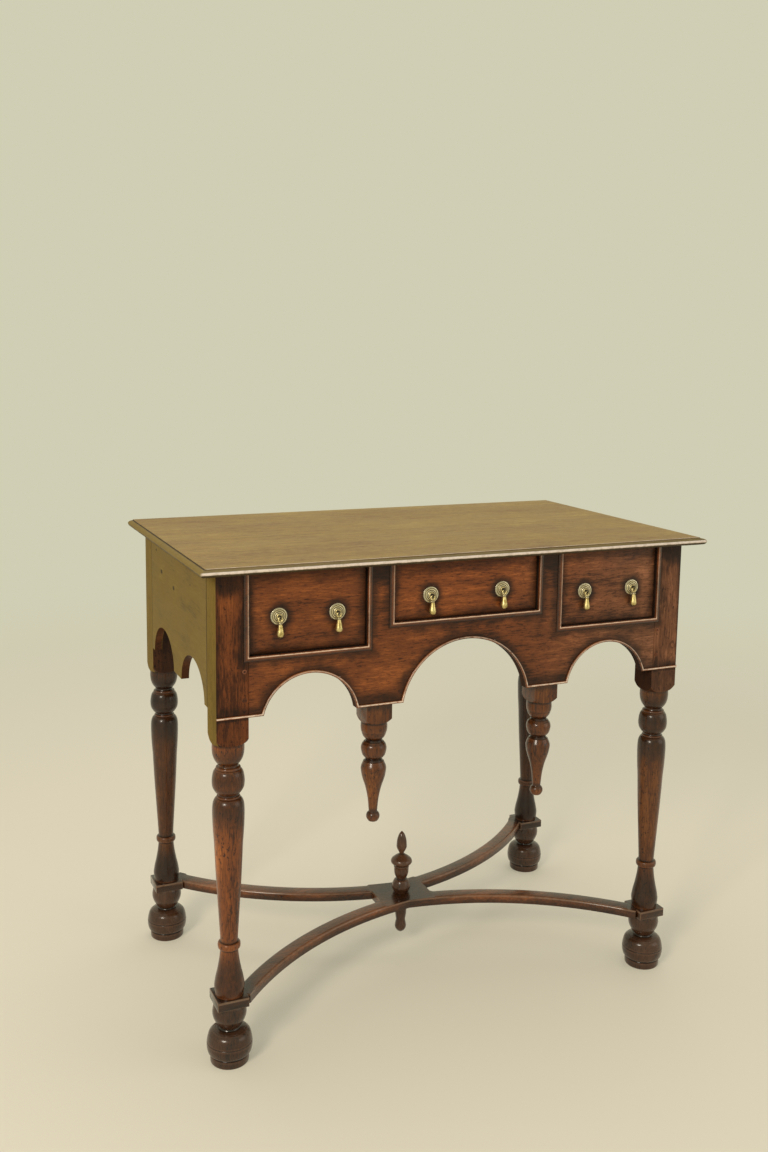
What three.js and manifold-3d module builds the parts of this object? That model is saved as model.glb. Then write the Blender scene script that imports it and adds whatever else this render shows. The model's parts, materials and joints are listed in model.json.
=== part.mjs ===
// Oak lowboy: a small dressing table with three drawers over an arched apron, four turned legs on
// bun feet, two turned pendants and a crossed stretcher with a finial.
// Millimetres, +Z up, +X to the right of someone facing the drawers, who stands on the -Y side.
// The origin is on the floor, under the middle of the whole piece.

import * as THREE from 'three';
import { mergeVertices } from 'three/addons/utils/BufferGeometryUtils.js';
import Module from 'manifold-3d';

const wasm = await Module();
wasm.setup();

// Gaps between pieces that meet
const seam = 0.2;
const socketGap = 0.3;
const overrun = 2;

// Carcase
const carcaseWidth = 760;
const carcaseDepth = 436;
const standingHeight = 727.5;

// Table top: two boards, moulded on the front and both ends
const topThickness = 11;
const topSideOverhang = 27;
const topFrontOverhang = 27.5;
const topBackOverhang = 7.5;
const topFrontBoardShare = 0.495;
const topMouldWidth = 8;
const topQuirkDrop = 1.2;
// Thumbnail moulding below the quirk: share of the mould's width in from the nose, share of the height left
const topMouldShares = [
  [1, 0], [0.72, 0.03], [0.4, 0.11], [0.14, 0.24], [0, 0.42], [0.03, 0.6], [0.16, 0.8], [0.42, 1],
];

// Legs: a square stile above, turned below
const stileWidth = 46;
const blockShoulder = 13;
const legTurnRadius = 22.9;
const legSides = 16;
// Strokes of the turning from the stretcher up: share of the turned length, share of the turning's radius
const legStrokeShares = [
  { steps: 4, points: [[0, 0.88], [0.035, 0.955], [0.094, 0.775], [0.15, 0.6], [0.185, 0.565]] },
  { steps: 2, points: [[0.187, 0.69], [0.197, 0.72], [0.208, 0.69]] },
  { steps: 2, points: [[0.211, 0.55], [0.368, 0.695], [0.615, 0.905], [0.706, 0.985]] },
  { steps: 3, points: [[0.725, 1], [0.746, 0.995], [0.77, 0.91], [0.787, 0.74], [0.797, 0.63]] },
  { steps: 5, points: [[0.801, 0.64], [0.825, 0.93], [0.857, 1], [0.888, 0.9], [0.913, 0.64]] },
  { steps: 3, points: [[0.917, 0.63], [0.933, 0.83], [0.954, 0.96], [0.972, 0.99], [1, 0.95]] },
];

// Feet: base, bun, neck and small ball, with a dowel through the stretcher into the leg
const footRadius = 32.8;
const footSides = 16;
const footDowelRadius = 8;
const footDowelReach = 26;
// Strokes of the foot from the floor up: share of its height, share of its radius
const footStrokeShares = [
  { steps: 2, points: [[0, 0.81], [0.02, 0.83], [0.1, 0.845]] },
  { steps: 1, points: [[0.118, 0.82], [0.135, 0.86]] },
  { steps: 4, points: [[0.15, 0.94], [0.23, 0.985], [0.33, 1], [0.45, 0.94], [0.53, 0.8], [0.565, 0.64]] },
  { steps: 1, points: [[0.585, 0.45], [0.615, 0.43]] },
  { steps: 3, points: [[0.635, 0.48], [0.71, 0.65], [0.83, 0.75], [0.92, 0.73], [1, 0.66]] },
];

// Front board: one board with three openings cut from its top edge and three arches from its lower edge.
// Its depth is from the top down to the flats beside the stiles.
const frontBoardThickness = 13;
const frontBoardDepth = 202.8;
const pendantFlatDrop = 4.8;
const blockDrop = 39.2;
// Depths of the openings as shares of the front board's depth
const sideOpeningDepthShare = 0.57939;
const middleOpeningDepthShare = 0.43146;
// Widths as shares of the space between the stiles
const sideOpeningShare = 0.26123;
const middleOpeningShare = 0.35539;
const middleArchShare = 0.30599;
const sideArchShare = 0.20659;
const pendantFlatShare = 0.10988;
// Rises of the arches as shares of their widths
const middleArchRiseShare = 0.42074;
const sideArchRiseShare = 0.40942;
const middleArchSteps = 14;
const archSteps = 10;

// Planted beads
const edgeBeadThickness = 4;
const edgeBeadProud = 3;
const openingBeadWidth = 7;
const openingBeadProud = 3.4;
// Section of the bead round a drawer opening: share of its width out from the opening, share of its height
const openingBeadShares = [
  [0, 0], [0, 0.82], [0.1, 1], [0.3, 0.96], [0.62, 0.66], [0.88, 0.42], [1, 0.3], [1, 0],
];

// Pendants under the front board
const pendantBlockWidth = 40;
const pendantBlockHeight = 28.5;
const pendantBlockShoulder = 9;
const pendantTurnLength = 154;
const pendantTurnRadius = 19.6;
const pendantSides = 14;
const pendantTenonWidth = 22;
const pendantTenonThickness = 6;
const pendantTenonReach = 22;
// Strokes of the pendant from its lower tip up: share of the turned length, share of the turning's radius
const pendantStrokeShares = [
  { steps: 3, points: [[0, 0], [0.012, 0.3], [0.06, 0.51], [0.09, 0.44], [0.108, 0.32]] },
  { steps: 2, points: [[0.134, 0.337], [0.215, 0.393], [0.287, 0.485], [0.36, 0.63]] },
  { steps: 3, points: [[0.41, 0.76], [0.47, 0.89], [0.526, 0.96], [0.58, 0.88], [0.625, 0.66]] },
  { steps: 4, points: [[0.64, 0.6], [0.68, 0.88], [0.729, 0.965], [0.773, 0.9], [0.808, 0.64]] },
  { steps: 3, points: [[0.823, 0.61], [0.853, 0.81], [0.904, 0.945], [0.94, 1], [1, 0.97]] },
];

// Side panels, with two arches each, and the back board
const sidePanelThickness = 12;
const sidePanelFlatRise = 5.7;
const sidePanelEndFlat = 15;
const sidePanelDropWidth = 46;
const sidePanelArchRise = 51;
const backBoardThickness = 12;
const backBoardRecess = 2;

// Tenons of the front board, side panels and back board, and the pins through the front ones
const tenonLength = 15;
const tenonThickness = 6;
const tenonSetback = 3;
const tenonShoulder = 11;
const pegRadius = 3.6;
const pegLength = 26;
const pegProud = 0.4;
const pegInset = 6;
const pegSides = 10;
// Heights of the two pins as shares of the front tenon's height
const pegHeightShares = [0.16, 0.84];

// Bearers that carry and guide the drawers
const bearerThickness = 18;
const bearerLedge = 14;
const bearerGuideHeight = 24;
const bearerGuideWidth = 14;
const bearerGuideGap = 0.4;

// Drawers
const drawerSideClearance = 1;
const drawerTopClearance = 1.5;
const drawerRunningGap = 0.3;
const drawerBackClearance = 12;
const drawerFrontThickness = 18;
const drawerFrontRecess = 4;
const drawerSideThickness = 9;
const drawerBackThickness = 9;
const drawerBottomThickness = 6;
const drawerBottomRaise = 1;
const drawerBackHousing = 3;
const drawerBackDrop = 8;
const dovetailDepth = 10;
const dovetailCount = 2;
// Dovetail's root and its flare on each side, as shares of one dovetail's pitch
const dovetailRootShare = 0.42;
const dovetailFlareShare = 0.09;

// Pulls: stamped plate with a staple through it, and a pear drop that hangs in the staple
// Height and spacing of each drawer's pulls as shares of its opening
const sidePullHeightShare = 0.44255;
const sidePullSpacingShare = 0.49284;
const middlePullHeightShare = 0.40229;
const middlePullSpacingShare = 0.49621;
const plateRadius = 12;
const plateHeight = 4.2;
const plateSides = 12;
// Outline of the plate from its rim to its middle: share of its radius, share of its height
const plateShares = [
  [1, 0], [1, 0.16], [0.92, 0.3], [0.78, 0.22], [0.68, 0.5], [0.48, 0.56], [0.4, 0.8], [0.2, 1], [0, 1],
];
const stapleRingRadius = 3;
const stapleWireRadius = 0.9;
const stapleSink = 0.6;
const stapleShankRadius = 1.6;
const stapleShankReach = 1.5;
const dropEyeRadius = 3;
const dropEyeWireRadius = 1.25;
const dropLength = 28.4;
const dropRadius = 5.3;
const linkGap = 0.3;
const ringSides = 10;
const wireSides = 5;
const dropSides = 10;
// Pear of the drop from its lower end up to its neck: share of the pear's length, share of its radius
const dropShares = [
  [0, 0], [0.03, 0.5], [0.11, 0.86], [0.26, 1], [0.5, 0.84], [0.84, 0.55], [0.93, 0.6], [1, 0.48],
];

// Crossed stretcher: two curved pieces halved over each other in the middle
const stretcherBottomHeight = 88;
const stretcherThickness = 14;
const stretcherArmWidth = 25;
const stretcherArmBevel = 4;
const stretcherArmOffset = 22.5;
const stretcherArmStartDegrees = 6.9;
const stretcherArmSteps = 10;
const crossingHalfLength = 46;
const crossingHalfWidth = 17;
const platformWidth = 46;

// Finial and the drop under it, on one spigot through the crossing
const finialHeight = 107.5;
const finialRadius = 18;
const finialSides = 12;
const spigotRadius = 5;
const spigotReach = 12;
// Strokes of the finial from its foot up: share of its height, share of its radius
const finialStrokeShares = [
  { steps: 3, points: [[0, 0.64], [0.04, 0.8], [0.09, 0.885], [0.14, 0.82], [0.19, 0.66]] },
  { steps: 2, points: [[0.215, 0.42], [0.245, 0.5], [0.3, 0.65]] },
  { steps: 1, points: [[0.34, 0.68], [0.44, 0.71]] },
  { steps: 5, points: [[0.455, 0.76], [0.475, 0.92], [0.508, 1], [0.55, 0.86], [0.59, 0.56], [0.628, 0.22]] },
  { steps: 5, points: [[0.65, 0.24], [0.7, 0.42], [0.745, 0.485], [0.82, 0.46], [0.92, 0.33], [1, 0]] },
];
const finialDropLength = 58.5;
const finialDropRadius = 9.6;
// Stroke of the drop from its lower end up
const finialDropStrokeShares = [
  { steps: 6, points: [[0, 0], [0.03, 0.55], [0.12, 0.96], [0.24, 0.96], [0.38, 0.8], [0.58, 0.98], [1, 1]] },
];

// Places worked out from the sizes above
// The rear feet reach further back than the top does
const rearReach = Math.max(topBackOverhang, footRadius - stileWidth / 2);
const frontY = (topFrontOverhang - rearReach - carcaseDepth) / 2;
const backY = frontY + carcaseDepth;
const carcaseTop = standingHeight - topThickness;
const stileFlatHeight = carcaseTop - frontBoardDepth;
const pendantFlatHeight = stileFlatHeight - pendantFlatDrop;
const blockBottomHeight = stileFlatHeight - blockDrop;
const sidePanelFlatHeight = stileFlatHeight + sidePanelFlatRise;
const sideOpeningBottom = carcaseTop - frontBoardDepth * sideOpeningDepthShare;
const middleOpeningBottom = carcaseTop - frontBoardDepth * middleOpeningDepthShare;
const sideX = carcaseWidth / 2;
const stileInnerX = sideX - stileWidth;
const frontWidth = stileInnerX * 2;
const sideOpeningWidth = frontWidth * sideOpeningShare;
const middleOpeningWidth = frontWidth * middleOpeningShare;
const middleArchWidth = frontWidth * middleArchShare;
const sideArchWidth = frontWidth * sideArchShare;
const pendantFlatWidth = frontWidth * pendantFlatShare;
const middleArchRise = middleArchWidth * middleArchRiseShare;
const sideArchRise = sideArchWidth * sideArchRiseShare;
const legAxisX = sideX - stileWidth / 2;
const frontLegY = frontY + stileWidth / 2;
const backLegY = backY - stileWidth / 2;
const stretcherTopHeight = stretcherBottomHeight + stretcherThickness;
const sideOpeningInnerX = stileInnerX - sideOpeningWidth;
const middleOpeningX = middleOpeningWidth / 2;
const pendantX = (middleArchWidth + pendantFlatWidth) / 2;
const backBoardInnerY = backY - backBoardRecess - backBoardThickness;

const materials = {
  topOak: new THREE.MeshStandardMaterial({ color: 0x7d6233, roughness: 0.42, metalness: 0 }),
  frontOak: new THREE.MeshStandardMaterial({ color: 0x6b3318, roughness: 0.4, metalness: 0 }),
  turnedOak: new THREE.MeshStandardMaterial({ color: 0x46251a, roughness: 0.36, metalness: 0 }),
  insideOak: new THREE.MeshStandardMaterial({ color: 0x8a6a42, roughness: 0.7, metalness: 0 }),
  brass: new THREE.MeshStandardMaterial({ color: 0xb59a52, roughness: 0.35, metalness: 1 }),
};

// Geometry helpers

// Turns a closed geometry into a solid that can be joined and cut.
function solidOf(geometry) {
  const bare = geometry.clone();
  bare.deleteAttribute('normal');
  bare.deleteAttribute('uv');
  const merged = mergeVertices(bare);
  return new wasm.Manifold(new wasm.Mesh({
    numProp: 3,
    vertProperties: new Float32Array(merged.attributes.position.array),
    triVerts: new Uint32Array(merged.index.array),
  }));
}

function geometryOf(solid) {
  const mesh = solid.getMesh();
  const geometry = new THREE.BufferGeometry();
  geometry.setAttribute('position', new THREE.BufferAttribute(new Float32Array(mesh.vertProperties), 3));
  geometry.setIndex(Array.from(mesh.triVerts));
  return geometry;
}

function join(first, ...others) {
  let solid = solidOf(first);
  for (const other of others) {
    solid = solid.add(solidOf(other));
  }
  return geometryOf(solid);
}

function cut(first, ...tools) {
  let solid = solidOf(first);
  for (const tool of tools) {
    solid = solid.subtract(solidOf(tool));
  }
  return geometryOf(solid);
}

function common(first, second) {
  return geometryOf(solidOf(first).intersect(solidOf(second)));
}

function boxBetween(x0, x1, y0, y1, z0, z1) {
  const box = new THREE.BoxGeometry(Math.abs(x1 - x0), Math.abs(y1 - y0), Math.abs(z1 - z0));
  return box.translate((x0 + x1) / 2, (y0 + y1) / 2, (z0 + z1) / 2);
}

function extrude(points, thickness) {
  const shape = new THREE.Shape(points.map(([u, v]) => new THREE.Vector2(u, v)));
  return new THREE.ExtrudeGeometry(shape, { depth: thickness, bevelEnabled: false });
}

const frontBasis = new THREE.Matrix4().makeBasis(
  new THREE.Vector3(1, 0, 0), new THREE.Vector3(0, 0, 1), new THREE.Vector3(0, -1, 0));
const sideBasis = new THREE.Matrix4().makeBasis(
  new THREE.Vector3(0, 1, 0), new THREE.Vector3(0, 0, 1), new THREE.Vector3(1, 0, 0));

// Board cut to an outline of x and z, from y back by its thickness.
function frontPlate(points, y, thickness) {
  return extrude(points, thickness).applyMatrix4(frontBasis).translate(0, y + thickness, 0);
}

// Board cut to an outline of y and z, from x by its thickness.
function sidePlate(points, x, thickness) {
  return extrude(points, thickness).applyMatrix4(sideBasis).translate(x, 0, 0);
}

function mirrored(points) {
  return points.map(([u, v]) => [-u, v]);
}

// Points of a turning's outline, from strokes of shares; a stroke of three points or more is a smooth curve.
function turnedOutline(strokes, length, radius, base) {
  const outline = [];
  for (const { steps, points } of strokes) {
    const keys = points.map(([along, out]) => new THREE.Vector2(out * radius, base + along * length));
    const curve = keys.length > 2 ? new THREE.SplineCurve(keys) : new THREE.LineCurve(keys[0], keys[1]);
    outline.push(...curve.getPoints(steps));
  }
  return outline;
}

// Solid turned about the Z axis, closed to the axis at both ends.
function turned(outline, sides) {
  const points = [...outline];
  if (points[0].x > 0) {
    points.unshift(new THREE.Vector2(0, points[0].y));
  }
  if (points[points.length - 1].x > 0) {
    points.push(new THREE.Vector2(0, points[points.length - 1].y));
  }
  points[0].x = 0;
  points[points.length - 1].x = 0;
  return new THREE.LatheGeometry(points, sides).rotateX(Math.PI / 2);
}

function rod(radius, z0, z1, sides) {
  return turned([new THREE.Vector2(radius, z0), new THREE.Vector2(radius, z1)], sides);
}

// Closed bar of one section along a flat path, mitred at its corners; a section point is out from the
// path and up from its plane.
function sweep(path, section) {
  const directions = path.slice(1).map(([x, y], i) => {
    const step = new THREE.Vector2(x - path[i][0], y - path[i][1]);
    return step.normalize();
  });
  const positions = [];
  path.forEach(([x, y], i) => {
    const before = directions[Math.max(i - 1, 0)];
    const after = directions[Math.min(i, directions.length - 1)];
    const out = new THREE.Vector2(-before.y - after.y, before.x + after.x).normalize();
    const stretch = 1 / (out.x * -after.y + out.y * after.x);
    for (const [offset, height] of section) {
      positions.push(x + out.x * offset * stretch, y + out.y * offset * stretch, height);
    }
  });
  const count = section.length;
  const triangles = [];
  for (let i = 0; i < path.length - 1; i++) {
    for (let j = 0; j < count; j++) {
      const a = i * count + j;
      const b = i * count + ((j + 1) % count);
      triangles.push(a, b, a + count, b, b + count, a + count);
    }
  }
  const caps = THREE.ShapeUtils.triangulateShape(section.map(([u, v]) => new THREE.Vector2(u, v)), []);
  const last = (path.length - 1) * count;
  for (const [a, b, c] of caps) {
    triangles.push(a, c, b, last + a, last + b, last + c);
  }
  const geometry = new THREE.BufferGeometry();
  geometry.setAttribute('position', new THREE.BufferAttribute(new Float32Array(positions), 3));
  geometry.setIndex(triangles);
  return outward(geometry);
}

// Gives a closed geometry faces that point out, whichever way its section ran.
function outward(geometry) {
  const { index, attributes } = geometry;
  const at = (i) => new THREE.Vector3().fromBufferAttribute(attributes.position, index.array[i]);
  let volume = 0;
  for (let i = 0; i < geometry.index.count; i += 3) {
    volume += at(i).dot(at(i + 1).cross(at(i + 2)));
  }
  if (volume < 0) {
    geometry.setIndex(Array.from(geometry.index.array).reverse());
  }
  return geometry;
}

function arcPoints(x, z, radius, from, to, steps) {
  return Array.from({ length: steps + 1 }, (_, i) => {
    const angle = from + (to - from) * i / steps;
    return [x + radius * Math.cos(angle), z + radius * Math.sin(angle)];
  });
}

// Circle through an arch's feet and crown, grown by an offset.
function archCircle(x, width, foot, rise, offset) {
  const radius = ((width / 2) ** 2 + rise ** 2) / (2 * rise);
  return { x, z: foot + rise - radius, radius: radius + offset };
}

// Points up one foot of an arch, over its crown and down to the other, at the heights given for each foot.
function archPoints(circle, leftFoot, rightFoot, steps) {
  const from = Math.PI - Math.asin((leftFoot - circle.z) / circle.radius);
  const to = Math.asin((rightFoot - circle.z) / circle.radius);
  return arcPoints(circle.x, circle.z, circle.radius, from, to, steps);
}

const root = new THREE.Group();

function group(parent, x, y, z) {
  const made = new THREE.Group();
  made.position.set(x, y, z);
  parent.add(made);
  return made;
}

function piece(parent, name, geometry, material) {
  const mesh = new THREE.Mesh(geometry, material);
  mesh.name = name;
  mesh.geometry.computeVertexNormals();
  parent.add(mesh);
  return mesh;
}

// Table top: a board as a stack of rectangles, each set in from the moulded edges by the moulding's outline
function topBoard(y0, y1, frontMoulded) {
  const mouldHeight = topThickness - topQuirkDrop;
  const outline = [[topMouldWidth, topThickness]];
  for (const [inward, down] of topMouldShares) {
    outline.push([topMouldWidth * inward, mouldHeight * (1 - down)]);
  }
  const halfWidth = sideX + topSideOverhang;
  const positions = [];
  for (const [inset, z] of outline) {
    const x = halfWidth - inset;
    const front = frontMoulded ? y0 + inset : y0;
    positions.push(-x, front, z, x, front, z, x, y1, z, -x, y1, z);
  }
  const triangles = [0, 1, 2, 0, 2, 3];
  const last = (outline.length - 1) * 4;
  triangles.push(last, last + 2, last + 1, last, last + 3, last + 2);
  for (let ring = 0; ring < last; ring += 4) {
    for (let side = 0; side < 4; side++) {
      const a = ring + side;
      const b = ring + (side + 1) % 4;
      triangles.push(a, a + 4, b, b, a + 4, b + 4);
    }
  }
  const geometry = new THREE.BufferGeometry();
  geometry.setAttribute('position', new THREE.BufferAttribute(new Float32Array(positions), 3));
  geometry.setIndex(triangles);
  return outward(geometry);
}

function buildTop() {
  const top = group(root, 0, 0, carcaseTop);
  const front = frontY - topFrontOverhang;
  const back = backY + topBackOverhang;
  const joint = front + (back - front) * topFrontBoardShare;
  piece(top, 'top_board_front', topBoard(front, joint - seam / 2, true), materials.topOak);
  piece(top, 'top_board_rear', topBoard(joint + seam / 2, back, false), materials.topOak);
}

// Square block whose lower corners are turned away, above a turning
function shoulderedBlock(width, bottom, top, shoulder, neckRadius, sides) {
  const corner = width * Math.SQRT1_2;
  const square = boxBetween(-width / 2, width / 2, -width / 2, width / 2, bottom, top);
  const turning = turned([
    new THREE.Vector2(neckRadius, bottom - overrun),
    new THREE.Vector2(neckRadius, bottom),
    new THREE.Vector2((neckRadius + corner) / 2, bottom + shoulder / 4),
    new THREE.Vector2(corner + overrun, bottom + shoulder),
    new THREE.Vector2(corner + overrun, top + overrun),
  ], sides);
  return common(square, turning);
}

// Height range of the tenons at the ends of a board
function tenonSpan(bottom, top) {
  return [bottom + tenonShoulder, top - tenonShoulder];
}

const frontTenonSpan = tenonSpan(stileFlatHeight + edgeBeadThickness, sideOpeningBottom);
const sideTenonSpan = tenonSpan(sidePanelFlatHeight, carcaseTop - seam);
const pegX = stileInnerX + pegInset;
const pegHeights = pegHeightShares.map((share) =>
  frontTenonSpan[0] + (frontTenonSpan[1] - frontTenonSpan[0]) * share);

function pegRod(x, z, radius, y0, y1) {
  return rod(radius, 0, y1 - y0, pegSides).rotateX(-Math.PI / 2).translate(x, y0, z);
}

// Leg at one corner, drawn about its own axis; side and end are -1 or 1 for left or right, front or back
function legGeometry(side, end) {
  const base = stretcherTopHeight + seam;
  const top = carcaseTop - seam;
  const half = stileWidth / 2;
  const block = shoulderedBlock(
    stileWidth, blockBottomHeight, top, blockShoulder, legTurnRadius, legSides);
  const outline = turnedOutline(legStrokeShares, blockBottomHeight - base, legTurnRadius, base);
  outline.push(new THREE.Vector2(outline[outline.length - 1].x, blockBottomHeight + overrun));
  const reach = tenonLength + socketGap;
  const boardFace = end < 0 ? -half : half - backBoardRecess - backBoardThickness;
  const boardTenon = boardFace + tenonSetback;
  const boardSpan = end < 0 ? frontTenonSpan : sideTenonSpan;
  const boardMortise = boxBetween(
    -side * (half + overrun), -side * (half - reach),
    boardTenon - socketGap, boardTenon + tenonThickness + socketGap,
    boardSpan[0] - socketGap, boardSpan[1] + socketGap);
  const panelFace = half - tenonSetback;
  const panelMortise = boxBetween(
    side * (panelFace + socketGap), side * (panelFace - tenonThickness - socketGap),
    -end * (half + overrun), -end * (half - reach),
    sideTenonSpan[0] - socketGap, sideTenonSpan[1] + socketGap);
  const dowelHole = rod(
    footDowelRadius + socketGap, base - overrun, stretcherTopHeight + footDowelReach + socketGap, legSides);
  const tools = [boardMortise, panelMortise, dowelHole];
  if (end < 0) {
    const localX = side * (pegX - legAxisX);
    for (const z of pegHeights) {
      tools.push(pegRod(localX, z, pegRadius + socketGap, -half - overrun, -half + pegLength + socketGap));
    }
  }
  return cut(join(block, turned(outline, legSides)), ...tools);
}

function footGeometry() {
  const height = stretcherBottomHeight - seam;
  const outline = turnedOutline(footStrokeShares, height, footRadius, 0);
  outline.push(new THREE.Vector2(footDowelRadius, height));
  outline.push(new THREE.Vector2(footDowelRadius, stretcherTopHeight + footDowelReach));
  return turned(outline, footSides);
}

function buildLegs() {
  for (const [endName, end, y] of [['front', -1, frontLegY], ['rear', 1, backLegY]]) {
    for (const [sideName, side] of [['left', -1], ['right', 1]]) {
      const corner = group(root, side * legAxisX, y, 0);
      piece(corner, `leg_${endName}_${sideName}`, legGeometry(side, end), materials.turnedOak);
      piece(corner, `foot_${endName}_${sideName}`, footGeometry(), materials.turnedOak);
    }
  }
}

// Lower edge of the front board from left to right, grown upwards by an offset into the wood
function archedEdge(halfLength, offset) {
  const meanFoot = (stileFlatHeight + pendantFlatHeight) / 2;
  const sideArchX = (middleArchWidth + sideArchWidth) / 2 + pendantFlatWidth;
  const sideArch = archCircle(sideArchX, sideArchWidth, meanFoot, sideArchRise, offset);
  const middleArch = archCircle(0, middleArchWidth, pendantFlatHeight, middleArchRise, offset);
  const stileFlat = stileFlatHeight + offset;
  const pendantFlat = pendantFlatHeight + offset;
  const right = [
    ...archPoints(sideArch, pendantFlat, stileFlat, archSteps),
    [halfLength, stileFlat],
  ];
  return [
    ...mirrored(right).reverse(),
    ...archPoints(middleArch, pendantFlat, pendantFlat, middleArchSteps),
    ...right,
  ];
}

function frontBoardTenon(side, grow) {
  const y = frontY + tenonSetback;
  return boxBetween(
    side * (stileInnerX - overrun), side * (stileInnerX + tenonLength),
    y - grow, y + tenonThickness + grow, frontTenonSpan[0], frontTenonSpan[1]);
}

// Tenon of a pendant, which passes through the edge bead into the front board
function pendantTenon(x, grow) {
  const y = frontY + (frontBoardThickness - pendantTenonThickness) / 2;
  return boxBetween(
    x - pendantTenonWidth / 2 - grow, x + pendantTenonWidth / 2 + grow,
    y - grow, y + pendantTenonThickness + grow,
    pendantFlatHeight - pendantBlockHeight / 2, pendantFlatHeight + pendantTenonReach + grow);
}

function frontBoardGeometry() {
  const end = stileInnerX - seam;
  const top = carcaseTop - seam;
  const outline = [
    ...archedEdge(end, edgeBeadThickness),
    [end, sideOpeningBottom], [sideOpeningInnerX, sideOpeningBottom], [sideOpeningInnerX, top],
    [middleOpeningX, top], [middleOpeningX, middleOpeningBottom],
    [-middleOpeningX, middleOpeningBottom], [-middleOpeningX, top],
    [-sideOpeningInnerX, top], [-sideOpeningInnerX, sideOpeningBottom], [-end, sideOpeningBottom],
  ];
  const board = join(
    frontPlate(outline, frontY, frontBoardThickness), frontBoardTenon(-1, 0), frontBoardTenon(1, 0));
  const tools = [pendantTenon(-pendantX, socketGap), pendantTenon(pendantX, socketGap)];
  for (const side of [-1, 1]) {
    for (const z of pegHeights) {
      tools.push(pegRod(side * pegX, z, pegRadius + socketGap, frontY, frontY + frontBoardThickness));
    }
  }
  return cut(board, ...tools);
}

// Bead bent round the arches, planted on the board's lower edge and carried across the stiles
function edgeBeadGeometry() {
  const strip = (halfLength, y, depth) => frontPlate(
    [...archedEdge(halfLength, 0), ...archedEdge(halfLength, edgeBeadThickness - seam).reverse()], y, depth);
  const underBoard = strip(stileInnerX - seam, frontY - edgeBeadProud, edgeBeadProud + frontBoardThickness);
  const overStiles = strip(sideX, frontY - edgeBeadProud, edgeBeadProud - seam);
  return cut(
    join(underBoard, overStiles), pendantTenon(-pendantX, socketGap), pendantTenon(pendantX, socketGap));
}

function pendantGeometry() {
  const top = pendantFlatHeight - seam;
  const bottom = pendantFlatHeight - pendantBlockHeight;
  const y = frontY + pendantBlockWidth / 2;
  const block = shoulderedBlock(
    pendantBlockWidth, bottom, top, pendantBlockShoulder, pendantTurnRadius, pendantSides);
  const outline = turnedOutline(
    pendantStrokeShares, pendantTurnLength, pendantTurnRadius, bottom - pendantTurnLength);
  outline.push(new THREE.Vector2(outline[outline.length - 1].x, bottom + overrun));
  return join(
    block.translate(0, y, 0), turned(outline, pendantSides).translate(0, y, 0), pendantTenon(0, 0));
}

// Bead round three sides of a drawer opening
function openingBeadGeometry(x0, x1, bottom) {
  const top = carcaseTop - seam;
  const section = openingBeadShares.map(([out, up]) => [
    -openingBeadWidth * out, Math.max(seam, openingBeadProud * up)]);
  return sweep([[x0, top], [x0, bottom], [x1, bottom], [x1, top]], section)
    .applyMatrix4(frontBasis).translate(0, frontY, 0);
}

function buildFront() {
  const front = group(root, 0, 0, 0);
  piece(front, 'front_board', frontBoardGeometry(), materials.frontOak);
  piece(front, 'edge_bead', edgeBeadGeometry(), materials.frontOak);
  piece(front, 'opening_bead_left',
    openingBeadGeometry(-stileInnerX, -sideOpeningInnerX, sideOpeningBottom), materials.frontOak);
  piece(front, 'opening_bead_middle',
    openingBeadGeometry(-middleOpeningX, middleOpeningX, middleOpeningBottom), materials.frontOak);
  piece(front, 'opening_bead_right',
    openingBeadGeometry(sideOpeningInnerX, stileInnerX, sideOpeningBottom), materials.frontOak);
  for (const [sideName, side] of [['left', -1], ['right', 1]]) {
    const hanger = group(front, side * pendantX, 0, 0);
    piece(hanger, `pendant_${sideName}`, pendantGeometry(), materials.turnedOak);
    pegHeights.forEach((z, i) => {
      const name = `peg_${sideName}_${i === 0 ? 'lower' : 'upper'}`;
      const peg = pegRod(side * pegX, z, pegRadius, frontY - pegProud, frontY + pegLength);
      piece(front, name, peg, materials.frontOak);
    });
  }
}

// Side panel between the stiles, flush with their outer faces; side is -1 for left, 1 for right
function sidePanelGeometry(side) {
  const y0 = frontY + stileWidth + seam;
  const y1 = backY - stileWidth - seam;
  const top = carcaseTop - seam;
  const archWidth = (y1 - y0 - 2 * sidePanelEndFlat - sidePanelDropWidth) / 2;
  const middle = (y0 + y1) / 2;
  const archY = (sidePanelDropWidth + archWidth) / 2;
  const outline = [[y0, sidePanelFlatHeight]];
  for (const y of [middle - archY, middle + archY]) {
    // Half an ellipse, flatter than a circle
    const unit = arcPoints(0, 0, 1, Math.PI, 0, archSteps);
    outline.push(...unit.map(([u, v]) => [
      y + u * archWidth / 2, sidePanelFlatHeight + v * sidePanelArchRise]));
  }
  outline.push([y1, sidePanelFlatHeight], [y1, top], [y0, top]);
  const inner = sideX - sidePanelThickness;
  const tenonInner = sideX - tenonSetback - tenonThickness;
  const tenon = (from, to) => boxBetween(
    side * tenonInner, side * (tenonInner + tenonThickness), from, to, sideTenonSpan[0], sideTenonSpan[1]);
  return join(
    sidePlate(outline, side < 0 ? -sideX : inner, sidePanelThickness),
    tenon(y0 - tenonLength, y0 + overrun), tenon(y1 - overrun, y1 + tenonLength));
}

function backBoardGeometry() {
  const end = stileInnerX - seam;
  const board = boxBetween(
    -end, end, backBoardInnerY, backBoardInnerY + backBoardThickness, sidePanelFlatHeight, carcaseTop - seam);
  const tenonY = backBoardInnerY + tenonSetback;
  const tenon = (side) => boxBetween(
    side * (end - overrun), side * (stileInnerX + tenonLength),
    tenonY, tenonY + tenonThickness, sideTenonSpan[0], sideTenonSpan[1]);
  return join(board, tenon(-1), tenon(1));
}

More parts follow.
